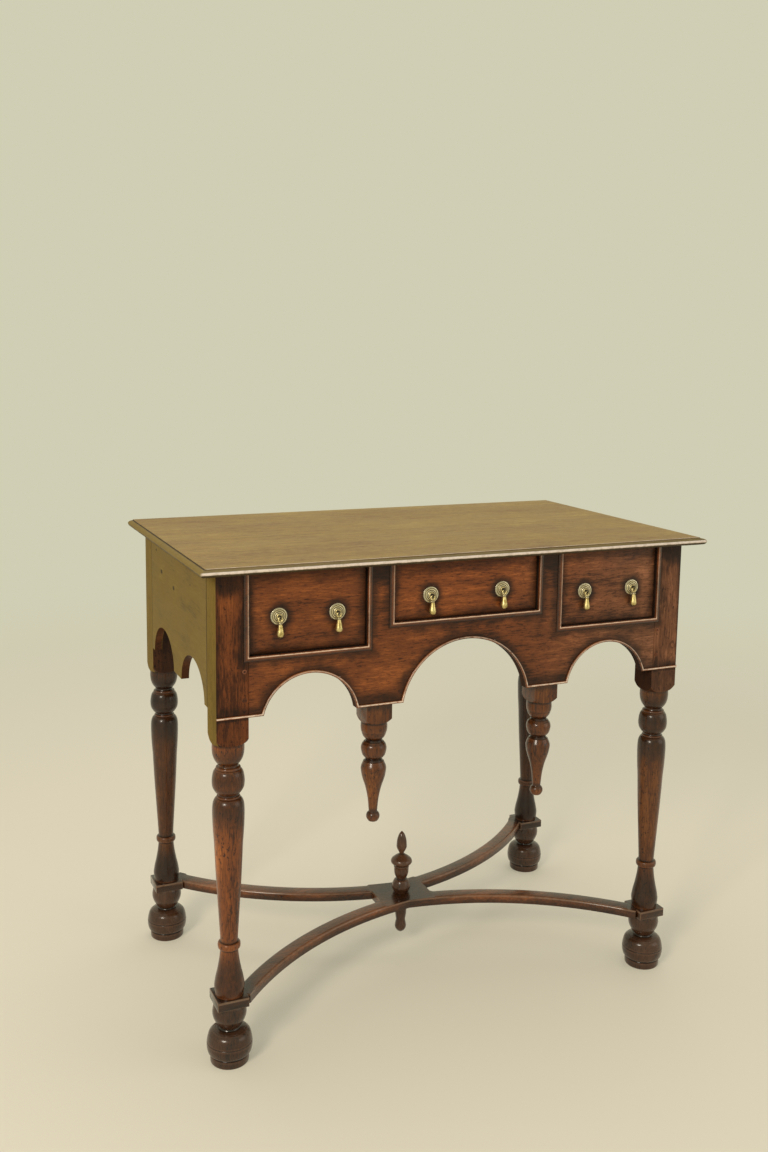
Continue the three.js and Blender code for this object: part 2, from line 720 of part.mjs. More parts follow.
// Bearer beside a side panel: a ledge under the drawer, notched round the stiles, with a guide on it
function outerBearerGeometry(side) {
  const y0 = frontY + frontBoardThickness + seam;
  const y1 = backBoardInnerY - seam;
  const notch0 = frontY + stileWidth + seam;
  const notch1 = backY - stileWidth - seam;
  const bottom = sideOpeningBottom - bearerThickness;
  const ledgeX = stileInnerX - bearerLedge;
  const guideX = stileInnerX + bearerGuideGap;
  const panelX = sideX - sidePanelThickness - seam;
  return join(
    boxBetween(side * ledgeX, side * (stileInnerX - seam), y0, y1, bottom, sideOpeningBottom),
    boxBetween(side * (ledgeX + overrun), side * panelX, notch0, notch1, bottom, sideOpeningBottom),
    boxBetween(
      side * guideX, side * (guideX + bearerGuideWidth), notch0, notch1,
      bottom, sideOpeningBottom + bearerGuideHeight));
}

// Bearer between two drawers: a stepped bar that carries a side drawer on one edge, the middle one on the other
function innerBearerGeometry(side) {
  const y0 = frontY + frontBoardThickness + seam;
  const y1 = backBoardInnerY - seam;
  const lowerX = sideOpeningInnerX - bearerGuideGap;
  const upperX = middleOpeningX + bearerGuideGap;
  const outline = [
    [upperX - bearerLedge, middleOpeningBottom - bearerThickness],
    [upperX, middleOpeningBottom - bearerThickness],
    [upperX, sideOpeningBottom - bearerThickness],
    [lowerX + bearerLedge, sideOpeningBottom - bearerThickness],
    [lowerX + bearerLedge, sideOpeningBottom],
    [lowerX, sideOpeningBottom],
    [lowerX, middleOpeningBottom + bearerGuideHeight],
    [upperX, middleOpeningBottom + bearerGuideHeight],
    [upperX, middleOpeningBottom],
    [upperX - bearerLedge, middleOpeningBottom],
  ];
  return frontPlate(side < 0 ? mirrored(outline).reverse() : outline, y0, y1 - y0);
}

function buildCase() {
  const carcase = group(root, 0, 0, 0);
  piece(carcase, 'back_board', backBoardGeometry(), materials.insideOak);
  for (const [sideName, side] of [['left', -1], ['right', 1]]) {
    piece(carcase, `side_panel_${sideName}`, sidePanelGeometry(side), materials.topOak);
    piece(carcase, `bearer_${sideName}_outer`, outerBearerGeometry(side), materials.insideOak);
    piece(carcase, `bearer_${sideName}_inner`, innerBearerGeometry(side), materials.insideOak);
  }
}

// Dovetails at the front end of a drawer side, as outlines of y and z
function dovetails(y0, y1, z0, z1, grow) {
  const pitch = (z1 - z0) / dovetailCount;
  return Array.from({ length: dovetailCount }, (_, i) => {
    const middle = z0 + pitch * (i + 1 / 2);
    const root = pitch * dovetailRootShare / 2 + grow;
    const tip = root + pitch * dovetailFlareShare;
    return [[y0 - grow, middle - tip], [y1, middle - root], [y1, middle + root], [y0 - grow, middle + tip]];
  });
}

// Drawer about its own place: x from its opening's middle, y from the front board's face, z from its base
function buildDrawer(name, x, openingWidth, openingBottom, pullHeightShare, pullSpacingShare, pullNames) {
  const pullHeight = (carcaseTop - openingBottom) * pullHeightShare;
  const pullSpacing = openingWidth * pullSpacingShare;
  const drawer = group(root, x, frontY, openingBottom + drawerRunningGap);
  const halfWidth = openingWidth / 2 - drawerSideClearance;
  const height = carcaseTop - drawerTopClearance - openingBottom - drawerRunningGap;
  const face = drawerFrontRecess;
  const rear = face + drawerFrontThickness;
  const end = backBoardInnerY - frontY - drawerBackClearance;
  const tailTip = rear - dovetailDepth;
  const innerX = halfWidth - drawerSideThickness;
  const rebate = drawerSideThickness / 2;
  const floorTop = drawerBottomRaise + drawerBottomThickness + seam;
  const backFront = end - drawerBackThickness;

  let front = boxBetween(-halfWidth, halfWidth, face, rear, 0, height);
  front = cut(front, boxBetween(
    -innerX, innerX, rear - rebate, rear + overrun, -overrun, floorTop));
  const sockets = [];
  for (const side of [-1, 1]) {
    const from = side < 0 ? -halfWidth - overrun : innerX - seam;
    for (const tail of dovetails(tailTip, rear + overrun, 0, height, seam)) {
      sockets.push(sidePlate(tail, from, drawerSideThickness + seam + overrun));
    }
    for (const pull of [-1, 1]) {
      if (side < 0) {
        sockets.push(pegRod(
          pull * pullSpacing / 2, pullHeight - drawerRunningGap, stapleShankRadius + socketGap,
          face - overrun, rear + overrun));
      }
    }
  }
  piece(drawer, `${name}_front`, cut(front, ...sockets), materials.frontOak);

  for (const [sideName, side] of [['left', -1], ['right', 1]]) {
    const board = boxBetween(side * innerX, side * halfWidth, rear + seam, end, 0, height);
    const tails = dovetails(tailTip, rear + seam + overrun, 0, height, 0)
      .map((tail) => sidePlate(tail, side < 0 ? -halfWidth : innerX, drawerSideThickness));
    const bottomRebate = boxBetween(
      side * (innerX - overrun), side * (innerX + rebate + seam), rear - overrun, end + overrun,
      -overrun, floorTop);
    const housing = boxBetween(
      side * (innerX - overrun), side * (innerX + drawerBackHousing + seam),
      backFront - seam, end + overrun, 0, height + overrun);
    piece(drawer, `${name}_side_${sideName}`, cut(join(board, ...tails), bottomRebate, housing),
      materials.insideOak);
  }

  const bottomHalf = innerX + rebate - seam;
  const bottomBoard = join(
    boxBetween(-bottomHalf, bottomHalf, rear + seam, end, drawerBottomRaise, floorTop - seam),
    boxBetween(-innerX + seam, innerX - seam, rear - rebate + seam, rear + overrun,
      drawerBottomRaise, floorTop - seam));
  piece(drawer, `${name}_bottom`, bottomBoard, materials.insideOak);
  piece(drawer, `${name}_back`, boxBetween(
    -innerX - drawerBackHousing, innerX + drawerBackHousing, backFront, end, floorTop,
    height - drawerBackDrop), materials.insideOak);

  pullNames.forEach((pullName, i) => {
    const pull = group(drawer, (i - 1 / 2) * pullSpacing, face - seam, pullHeight - drawerRunningGap);
    piece(pull, `pull_plate_${pullName}`, plateGeometry(), materials.brass);
    const link = group(pull, 0, -stapleStandoff, -linkDrop);
    piece(link, `pull_drop_${pullName}`, dropGeometry(), materials.brass);
  });
}

// How far the staple's ring stands out from the plate's back, and how far the drop's eye hangs in it
const stapleStandoff = plateHeight + stapleRingRadius - stapleSink;
const linkDrop = stapleRingRadius - stapleWireRadius - dropEyeWireRadius - linkGap;

function plateGeometry() {
  const outline = plateShares.map(([out, up]) => new THREE.Vector2(plateRadius * out, plateHeight * up));
  const disc = new THREE.LatheGeometry([new THREE.Vector2(0, 0), ...outline], plateSides).rotateX(Math.PI);
  const ring = new THREE.TorusGeometry(stapleRingRadius, stapleWireRadius, wireSides, ringSides)
    .rotateY(Math.PI / 2).translate(0, -stapleStandoff, 0);
  const shank = pegRod(
    0, 0, stapleShankRadius, -plateHeight / 2, drawerFrontThickness + stapleShankReach + seam);
  return join(disc, ring, shank);
}

// Drop about the point where it turns in the staple: its eye's wire passes through the origin
function dropGeometry() {
  const eye = new THREE.TorusGeometry(dropEyeRadius, dropEyeWireRadius, wireSides, ringSides)
    .rotateX(Math.PI / 2).translate(0, 0, -dropEyeRadius);
  const neckHeight = -2 * dropEyeRadius - dropEyeWireRadius / 2;
  const pearLength = dropLength + neckHeight;
  const outline = dropShares.map(([along, out]) => new THREE.Vector2(
    dropRadius * out, -dropLength + pearLength * along));
  return join(eye, turned(outline, dropSides));
}

function buildDrawers() {
  const sideX0 = (sideOpeningInnerX + stileInnerX) / 2;
  buildDrawer('drawer_left', -sideX0, sideOpeningWidth, sideOpeningBottom,
    sidePullHeightShare, sidePullSpacingShare, ['left_outer', 'left_inner']);
  buildDrawer('drawer_middle', 0, middleOpeningWidth, middleOpeningBottom,
    middlePullHeightShare, middlePullSpacingShare, ['middle_left', 'middle_right']);
  buildDrawer('drawer_right', sideX0, sideOpeningWidth, sideOpeningBottom,
    sidePullHeightShare, sidePullSpacingShare, ['right_inner', 'right_outer']);
}

// Centre line of the arm that runs to the right and back, from over the middle to the platform's inner face
function armPath() {
  const middleY = (frontLegY + backLegY) / 2;
  const endX = legAxisX - platformWidth / 2;
  const endY = backLegY - middleY;
  const chord = new THREE.Vector2(endX, endY - stretcherArmOffset);
  const start = THREE.MathUtils.degToRad(stretcherArmStartDegrees);
  const turn = 2 * (chord.angle() - start);
  const radius = chord.length() / (2 * Math.sin(turn / 2));
  const points = arcPoints(
    -radius * Math.sin(start), stretcherArmOffset + radius * Math.cos(start), radius,
    start - Math.PI / 2, start + turn - Math.PI / 2, stretcherArmSteps);
  // Runs on into the platform, straight
  const end = points[points.length - 1];
  const run = stretcherArmWidth / 3;
  points.push([end[0] + run * Math.cos(start + turn), end[1] + run * Math.sin(start + turn)]);
  return points;
}

function stretcherGeometry(mirror, cutFromTop) {
  const low = stretcherBottomHeight;
  const high = stretcherTopHeight;
  const half = stretcherArmWidth / 2;
  const section = [
    [-half, low], [half, low], [half, high - stretcherArmBevel], [half - stretcherArmBevel, high],
    [-half + stretcherArmBevel, high], [-half, high - stretcherArmBevel],
  ];
  const arm = sweep(armPath(), section);
  const farY = backLegY - (frontLegY + backLegY) / 2;
  const legHalf = platformWidth / 2;
  const platform = boxBetween(
    legAxisX - legHalf, legAxisX + legHalf, farY - legHalf, farY + legHalf, low, high);
  const dowelHole = rod(footDowelRadius + socketGap, low - overrun, high + overrun, footSides)
    .translate(legAxisX, farY, 0);
  const trimmed = cut(
    join(arm, platform), dowelHole,
    boxBetween(
      -stretcherArmWidth, seam / 2, 0, stretcherArmOffset + stretcherArmWidth,
      low - overrun, high + overrun));
  const opposite = trimmed.clone().rotateZ(Math.PI);
  const block = boxBetween(
    -crossingHalfLength, crossingHalfLength, -crossingHalfWidth, crossingHalfWidth, low, high);
  const middle = (low + high) / 2;
  const [removeLow, removeHigh] = cutFromTop
    ? [middle - seam / 2, high + overrun]
    : [low - overrun, middle + seam / 2];
  const removed = boxBetween(
    -crossingHalfLength - seam, crossingHalfLength + seam,
    -crossingHalfWidth - seam, crossingHalfWidth + seam,
    removeLow, removeHigh);
  const spigotHole = rod(spigotRadius + socketGap, low - overrun, high + overrun, finialSides);
  const whole = cut(join(trimmed, block, opposite), removed, spigotHole);
  if (mirror) {
    return outward(whole.scale(1, -1, 1));
  }
  return whole;
}

function finialGeometry() {
  const base = stretcherTopHeight + seam;
  const outline = turnedOutline(finialStrokeShares, finialHeight, finialRadius, base);
  outline.unshift(
    new THREE.Vector2(spigotRadius, stretcherBottomHeight - spigotReach),
    new THREE.Vector2(spigotRadius, base));
  return turned(outline, finialSides);
}

function finialDropGeometry() {
  const top = stretcherBottomHeight - seam;
  const outline = turnedOutline(
    finialDropStrokeShares, finialDropLength, finialDropRadius, top - finialDropLength);
  return cut(turned(outline, finialSides), rod(
    spigotRadius + socketGap, stretcherBottomHeight - spigotReach - socketGap, top + overrun, finialSides));
}

function buildStretcher() {
  const stretcher = group(root, 0, (frontLegY + backLegY) / 2, 0);
  piece(stretcher, 'stretcher_under', stretcherGeometry(false, true), materials.turnedOak);
  piece(stretcher, 'stretcher_over', stretcherGeometry(true, false), materials.turnedOak);
  piece(stretcher, 'finial', finialGeometry(), materials.turnedOak);
  piece(stretcher, 'finial_drop', finialDropGeometry(), materials.turnedOak);
}

buildTop();
buildLegs();
buildFront();
buildCase();
buildDrawers();
buildStretcher();

export default root;
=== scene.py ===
"""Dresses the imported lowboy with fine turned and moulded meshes, oak and brass finishes, and a studio.

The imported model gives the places. Everything is in metres, with +Z up and the drawers facing -Y.
"""

import json
import logging
import math
from dataclasses import dataclass, replace
from enum import Enum
from functools import cached_property, partialmethod
from typing import Callable, Optional, Sequence, Union

import bmesh
import bpy
import numpy as np
from mathutils import Euler, Matrix, Vector, noise

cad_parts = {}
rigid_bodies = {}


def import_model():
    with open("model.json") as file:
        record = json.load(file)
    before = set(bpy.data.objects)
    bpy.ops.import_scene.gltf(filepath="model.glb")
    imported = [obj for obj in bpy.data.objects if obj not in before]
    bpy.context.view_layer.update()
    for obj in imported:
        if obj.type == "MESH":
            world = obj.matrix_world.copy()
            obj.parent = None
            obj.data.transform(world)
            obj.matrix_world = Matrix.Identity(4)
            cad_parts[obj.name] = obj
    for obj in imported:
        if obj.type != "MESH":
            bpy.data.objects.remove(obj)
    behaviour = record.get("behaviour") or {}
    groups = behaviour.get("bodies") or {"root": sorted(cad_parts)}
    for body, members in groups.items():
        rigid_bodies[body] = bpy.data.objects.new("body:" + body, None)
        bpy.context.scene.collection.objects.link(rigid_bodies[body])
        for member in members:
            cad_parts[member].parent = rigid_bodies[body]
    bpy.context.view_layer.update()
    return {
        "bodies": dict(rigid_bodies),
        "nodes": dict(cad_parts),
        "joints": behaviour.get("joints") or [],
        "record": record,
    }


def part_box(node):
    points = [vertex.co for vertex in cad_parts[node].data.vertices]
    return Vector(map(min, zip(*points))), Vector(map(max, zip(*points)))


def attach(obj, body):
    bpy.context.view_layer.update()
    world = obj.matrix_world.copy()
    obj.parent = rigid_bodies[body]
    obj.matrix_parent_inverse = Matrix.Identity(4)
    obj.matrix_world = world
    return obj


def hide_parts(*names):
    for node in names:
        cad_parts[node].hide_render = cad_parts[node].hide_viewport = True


LOG = logging.getLogger("lowboy")
MM = 0.001
# Gap between pieces that rest on each other
SEAM = 0.2 * MM
# How far a cutter, or a block that is joined, reaches past the surface that it meets
SPARE = 2 * MM
# Bends above this, in degrees, are arrises
SHARP = 30
# Faces above this size are plain, and store no marks
WIDE_FACE = 50 * MM * MM

Point = tuple[float, float]
Place = tuple[float, float, float]
Number = Union["Field", float]
Marking = Callable[["Spot"], "Marks"]


# Modelling


def colour(code: str) -> tuple[float, ...]:
    """Linear colour from a hex code.

    Args:
        code: Six hex digits, as seen on a screen.

    Returns:
        Red, green, blue and an alpha of 1.
    """
    parts = [int(code[i : i + 2], 16) / 255 for i in (0, 2, 4)]
    linear = [p / 12.92 if p <= 0.04045 else ((p + 0.055) / 1.055) ** 2.4 for p in parts]
    return (*linear, 1.0)


def spline(keys: Sequence[Point], steps: int) -> list[Point]:
    """Points on a smooth curve through key points.

    Args:
        keys: The points that the curve goes through.
        steps: How many stretches the curve is divided into.

    Returns:
        One point more than there are steps.
    """
    made = []
    last = len(keys) - 1
    for i in range(steps + 1):
        place = i * last / steps
        k = min(int(place), last - 1)
        t = place - k
        p = [keys[max(k - 1, 0)], keys[k], keys[k + 1], keys[min(k + 2, last)]]
        made.append(tuple(
            0.5 * (2 * p[1][j] + (p[2][j] - p[0][j]) * t
                   + (2 * p[0][j] - 5 * p[1][j] + 4 * p[2][j] - p[3][j]) * t * t
                   + (3 * p[1][j] - p[0][j] - 3 * p[2][j] + p[3][j]) * t ** 3)
            for j in (0, 1)))
    return made


def arc(centre: Point, radius: float, start: float, end: float, steps: int) -> list[Point]:
    """Points on an arc.

    Args:
        centre: Its centre.
        radius: Its radius.
        start: The angle that it starts at, in radians.
        end: The angle that it ends at.
        steps: How many stretches it is divided into.

    Returns:
        One point more than there are steps.
    """
    angles = [start + (end - start) / steps * i for i in range(steps + 1)]
    return [(centre[0] + radius * math.cos(a), centre[1] + radius * math.sin(a)) for a in angles]


@dataclass(frozen=True)
class Stroke:
    """One smooth stretch of a turning, as shares of its height and of its radius."""

    steps: int
    shares: tuple[Point, ...]


def turned_outline(strokes: Sequence[Stroke], base: float, length: float, radius: float) -> list[Point]:
    """Outline of a turning.

    Args:
        strokes: The stretches, from the lower end up.
        base: Height of the lower end.
        length: Height of the turning.
        radius: Radius that the shares are of.

    Returns:
        Points with a radius and a height.
    """
    shares = [share for stroke in strokes for share in spline(stroke.shares, stroke.steps)]
    return [(max(out * radius, 0.0), base + along * length) for along, out in shares]


def middle_of(node: str) -> Place:
    """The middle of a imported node's box."""
    return tuple((a + b) / 2 for a, b in zip(*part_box(node)))


class Work:
    """A mesh on the bench, shaped in edit mode, where everything is picked by its place."""

    def __init__(self, name: str, made: Optional[bpy.types.Object] = None) -> None:
        """Takes an object, or else the newest one, whose transform then goes into its mesh.

        Args:
            name: The name of the piece.
            made: The object.
        """
        self.object = made or bpy.context.object
        self.object.name = name
        self.object.data.name = name
        self.aged = False
        if made is None:
            bpy.ops.object.transform_apply(location=True, rotation=True, scale=True)

    @staticmethod
    def clear() -> None:
        """Deselects every object."""
        bpy.ops.object.select_all(action="DESELECT")

    @classmethod
    def between(cls, name: str, *limits: Point) -> "Work":
        """A block.

        Args:
            name: The name of the piece.
            limits: Its two limits on X, Y and Z.

        Returns:
            The work.
        """
        cls.clear()
        bpy.ops.mesh.primitive_cube_add(
            size=1, location=[(a + b) / 2 for a, b in limits], scale=[abs(b - a) for a, b in limits])
        return cls(name)

    @classmethod
    def sheet(cls, name: str, where: Place, turn: Place, wide: float, tall: float) -> "Work":
        """A flat rectangle, left in edit mode with its face selected.

        Args:
            name: The name of the piece.
            where: The place of its middle.
            turn: Turns about X, Y and Z, in radians.
            wide: Its size along X before it is turned.
            tall: Its size along Y before it is turned.

        Returns:
            The work.
        """
        cls.clear()
        bpy.ops.mesh.primitive_plane_add(size=1, location=where, rotation=turn)
        bpy.context.object.scale = (wide, tall, 1)
        work = cls(name)
        bpy.ops.object.mode_set(mode="EDIT")
        bpy.ops.mesh.select_mode(type="FACE")
        bpy.ops.mesh.select_all(action="SELECT")
        return work

    @classmethod
    def line(cls, name: str, points: Sequence[Place]) -> "Work":
        """A run of edges, left in edit mode with all of it selected.

        Args:
            name: The name of the piece.
            points: The places that the run goes through.

        Returns:
            The work.
        """
        cls.clear()
        bpy.ops.mesh.primitive_plane_add(size=MM, location=points[0])
        work = cls(name)
        bpy.ops.object.mode_set(mode="EDIT")
        bpy.ops.mesh.select_mode(type="VERT")
        bpy.ops.mesh.select_all(action="SELECT")
        bpy.ops.mesh.merge(type="CENTER")
        for before, after in zip(points, points[1:]):
            step = tuple(b - a for a, b in zip(before, after))
            bpy.ops.mesh.extrude_vertices_move(TRANSFORM_OT_translate={"value": step})
        bpy.ops.mesh.select_all(action="SELECT")
        return work

    @classmethod
    def turned(cls, name: str, outline: Sequence[Point], sides: int) -> "Work":
        """A solid turned about the Z axis.

        Args:
            name: The name of the piece.
            outline: Points with a radius and a height, from one end to the other.
            sides: How many sides the turning has.

        Returns:
            The closed solid.
        """
        points = list(outline)
        if points[0][0] > 0:
            points.insert(0, (0.0, points[0][1]))
        if points[-1][0] > 0:
            points.append((0.0, points[-1][1]))
        work = cls.line(name, [(radius, 0.0, height) for radius, height in points])
        bpy.ops.mesh.spin(steps=sides, angle=math.tau, center=(0, 0, 0), axis=(0, 0, 1))
        return work.close()

    @classmethod
    def plate(cls, name: str, outline: Sequence[Place], push: Place) -> "Work":
        """A board cut to a flat outline.

        Args:
            name: The name of the piece.
            outline: The corners of one face, in order.
            push: From that face to the other one.

        Returns:
            The closed solid.
        """
        work = cls.line(name, outline)
        bpy.ops.mesh.edge_face_add()
        bpy.ops.mesh.extrude_region_move(TRANSFORM_OT_translate={"value": push})
        return work.close()

    @classmethod
    def copied(cls, name: str, source: bpy.types.Object) -> "Work":
        """A copy of an object, with its own mesh and without its parent and properties.

        Args:
            name: The name of the piece.
            source: The object.

        Returns:
            The work.
        """
        made = source.copy()
        made.data = source.data.copy()
        made.parent = None
        for key in list(made.keys()):
            del made[key]
        bpy.context.scene.collection.objects.link(made)
        return cls(name, made)

    def copy(self, name: str) -> "Work":
        """The same piece again, with its own mesh."""
        return self.copied(name, self.object)

    def remove(self) -> None:
        """Throws the piece away."""
        bpy.data.objects.remove(self.object)

    def alone(self, *others: "Work") -> "Work":
        """Selects only this piece and any others, with this one active."""
        self.clear()
        for work in (*others, self):
            work.object.select_set(True)
        bpy.context.view_layer.objects.active = self.object
        return self

    def edit(self) -> "Work":
        """Goes into edit mode with nothing selected."""
        self.alone()
        bpy.ops.object.mode_set(mode="EDIT")
        bpy.ops.mesh.select_mode(type="EDGE")
        bpy.ops.mesh.select_all(action="DESELECT")
        return self

    def close(self) -> "Work":
        """Merges doubles, turns every face out and leaves edit mode."""
        bpy.ops.mesh.select_all(action="SELECT")
        bpy.ops.mesh.remove_doubles(threshold=MM / 200)
        bpy.ops.mesh.normals_make_consistent(inside=False)
        bpy.ops.object.mode_set(mode="OBJECT")
        return self

    def pick(self, test: Callable[[Vector, Vector], bool], faces: bool = False) -> None:
        """Selects edges by their two ends, or faces by their centre and normal.

        Args:
            test: What those two have to pass.
            faces: Whether faces are selected.
        """
        mesh = bmesh.from_edit_mesh(self.object.data)
        if faces:
            found = [f for f in mesh.faces if test(f.calc_center_median(), f.normal)]
        else:
            found = [e for e in mesh.edges if test(e.verts[0].co, e.verts[1].co)]
        for element in found:
            element.select_set(True)
        bmesh.update_edit_mesh(self.object.data)

    def soften(self, width: float, test: Optional[Callable[[Vector, Vector], bool]] = None,
               segments: int = 3) -> "Work":
        """Rounds arrises.

        Args:
            width: How far the rounding reaches on each side.
            test: Which edges, by their ends, or none for all sharp ones.
            segments: Faces across the rounding.

        Returns:
            The same work.
        """
        self.edit()
        if test is None:
            bpy.ops.mesh.edges_select_sharp(sharpness=math.radians(SHARP))
        else:
            self.pick(test)
        bpy.ops.mesh.bevel(offset=width, segments=segments, profile=0.5, clamp_overlap=True)
        return self.close()

    def slice(self, place: Place, normal: Place) -> "Work":
        """Cuts off what lies past a plane and closes the cut.

        Args:
            place: A point of the plane.
            normal: The way that it faces.

        Returns:
            The same work.
        """
        self.edit()
        bpy.ops.mesh.select_all(action="SELECT")
        bpy.ops.mesh.bisect(plane_co=place, plane_no=normal, use_fill=True, clear_outer=True)
        return self.close()

    def _combine(self, other: "Work", operation: str) -> "Work":
        """Combines the solid with another one, which is used up.

        Args:
            other: The other solid.
            operation: Blender's name of what is done.

        Returns:
            The same work.
        """
        bpy.context.view_layer.objects.active = self.object
        modifier = self.object.modifiers.new(operation, "BOOLEAN")
        modifier.operation = operation
        modifier.solver = "EXACT"
        modifier.object = other.object
        bpy.ops.object.modifier_apply(modifier=modifier.name)
        other.remove()
        return self

    join = partialmethod(_combine, operation="UNION")
    cut = partialmethod(_combine, operation="DIFFERENCE")
    common = partialmethod(_combine, operation="INTERSECT")

    def gather(self, others: Sequence["Work"]) -> "Work":
        """Makes one object of this and separate others, whose meshes stay apart."""
        self.alone(*others)
        bpy.ops.object.join()
        return self

    def place(self, where: Place, turn: Place = (0, 0, 0), scale: Place = (1, 1, 1)) -> "Work":
        """Scales, turns and moves the mesh, in that order.

        Args:
            where: How far it moves.
            turn: Turns about X, Y and Z, in radians.
            scale: Scale on each axis. A negative one has its faces turned out again.

        Returns:
            The same work.
        """
        self.alone()
        self.object.scale = scale
        self.object.rotation_euler = Euler(turn)
        self.object.location = where
        bpy.ops.object.transform_apply(location=True, rotation=True, scale=True)
        if scale[0] * scale[1] * scale[2] < 0:
            self.edit().close()
        return self

    def shift(self, move: Callable[[Vector], Vector]) -> None:
        """Moves each vertex by what a function of its place says."""
        for vertex in self.object.data.vertices:
            vertex.co += move(vertex.co)

    def smooth(self, angle: float) -> "Work":
        """Shades smooth across bends under an angle in degrees."""
        self.alone()
        bpy.ops.object.shade_smooth_by_angle(angle=math.radians(angle))
        return self

    def age(self, wear_and_highlight: Point, grime: Point) -> "Work":
        """Stores where the surface is rubbed and where grime gathers, from how sharply it bends.

        Args:
            wear_and_highlight: Bends, one over the radius in metres, where rubbing starts and is full.
            grime: The same for grime in hollows.

        Returns:
            The same work.
        """
        mesh = self.object.data
        count = len(mesh.vertices)

        def read(source: Sequence, name: str, kind: type = float, each: int = 1) -> np.ndarray:
            """One row of numbers for each element.

            Args:
                source: The elements.
                name: What is read of them.
                kind: The numbers' type.
                each: How many numbers a row has.

            Returns:
                The rows.
            """
            numbers = np.empty(len(source) * each, dtype=kind)
            source.foreach_get(name, numbers)
            return numbers.reshape(-1, each) if each > 1 else numbers

        places = read(mesh.vertices, "co", each=3)
        normals = read(mesh.vertex_normals, "vector", each=3)
        a, b = read(mesh.edges, "vertices", np.int64, 2).T
        step = places[b] - places[a]
        bend = ((normals[b] - normals[a]) * step).sum(1) / np.maximum((step ** 2).sum(1), 1e-12)
        high = np.full(count, -1e9)
        low = np.full(count, 1e9)
        for ends in (a, b):
            np.maximum.at(high, ends, bend)
            np.minimum.at(low, ends, bend)
        degree = np.maximum(np.bincount(a, minlength=count) + np.bincount(b, minlength=count), 1)
        sides = read(mesh.polygons, "loop_total", np.int64)
        narrow = np.repeat(read(mesh.polygons, "area"), sides) < WIDE_FACE
        corners = read(mesh.loops, "vertex_index", np.int64)
        for name, bends, (start, full) in (("rubbed", high, wear_and_highlight), ("grime", -low, grime)):
            value = np.clip((bends - start) / (full - start), 0, 1)
            around = np.bincount(a, value[b], count) + np.bincount(b, value[a], count)
            value = (value + around / degree) / 2
            layer = mesh.attributes.new(name, "FLOAT", "CORNER")
            layer.data.foreach_set("value", (value[corners] * narrow).astype(np.float32))
        self.aged = True
        return self

    def hand_over(self, body: str, slot: str, node: str, material: bpy.types.Material) -> None:
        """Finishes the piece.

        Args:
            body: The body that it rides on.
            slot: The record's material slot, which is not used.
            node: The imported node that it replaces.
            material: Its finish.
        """
        self.object.data.materials.clear()
        self.object.data.materials.append(material)
        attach(self.object, body)
        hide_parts(node)
        LOG.info("%s: %d faces", self.object.name, len(self.object.data.polygons))

    def dress(self, node: str, oak: "Oak", grain: "Grain", seed: int, marking: Optional[Marking] = None,
              body: str = "root") -> None:
        """Finishes a piece of oak.

        Args:
            node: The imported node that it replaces.
            oak: Its finish.
            grain: Which way its grain runs.
            seed: A number of its own, so that no two pieces match.
            marking: Gives the marks that the piece has by its place.
            body: The body that it rides on.
        """
        self.hand_over(body, oak.slot, node, oak.material(grain, seed, marking, self.aged))


# Materials


def math_method(operation: str, swap: bool = False) -> Callable[..., "Field"]:
    """A method of a field that adds one Math node.

    Args:
        operation: The node's operation.
        swap: Whether the field comes last, as in a reflected operator.

    Returns:
        The method.
    """
    def method(self: "Field", *others: Number) -> "Field":
        """Adds the node."""
        values = (*others, self) if swap else (self, *others)
        return self.shader.node("ShaderNodeMath", {"operation": operation}, dict(enumerate(values)))

    return method


class Field:
    """A number that changes over a surface, written with Python's operators."""

    def __init__(self, shader: "Shader", socket: Optional[bpy.types.NodeSocket]) -> None:
        """Wraps an output socket of a shader's tree."""
        self.shader = shader
        self.socket = socket

    __add__ = math_method("ADD")
    __radd__ = math_method("ADD", swap=True)
    __sub__ = math_method("SUBTRACT")
    __rsub__ = math_method("SUBTRACT", swap=True)
    __mul__ = math_method("MULTIPLY")
    __rmul__ = math_method("MULTIPLY", swap=True)
    __truediv__ = math_method("DIVIDE")
    __rtruediv__ = math_method("DIVIDE", swap=True)
    __abs__ = math_method("ABSOLUTE")
    least = math_method("MINIMUM")
    most = math_method("MAXIMUM")
    root = math_method("SQRT")

    def other(self, output: Union[int, str]) -> "Field":
        """Another output of the same node."""
        return Field(self.shader, self.socket.node.outputs[output])

    def fade(self, start: float, end: float) -> "Field":
        """Smooth step from 0 at start to 1 at end, either way round.

        Args:
            start: Where it starts.
            end: Where it is full.

        Returns:
            The step.
        """
        step = self.shader.node("ShaderNodeMapRange", {"interpolation_type": "SMOOTHSTEP"}, {
            "Value": self, "From Min": min(start, end), "From Max": max(start, end)})
        return step if start < end else 1 - step


def length(a: Field, b: Field) -> Field:
    """Length of a flat vector."""
    return (a * a + b * b).root()


@dataclass(frozen=True)
class Band:
    """A mark that fades in over a distance in millimetres, and how strong it gets."""

    start: float
    full: float
    strength: float = 1.0

    def __call__(self, distance: Field) -> Field:
        """The mark at a distance in metres."""
        mark = distance.fade(self.start * MM, self.full * MM)
        return mark if self.strength == 1 else mark * self.strength


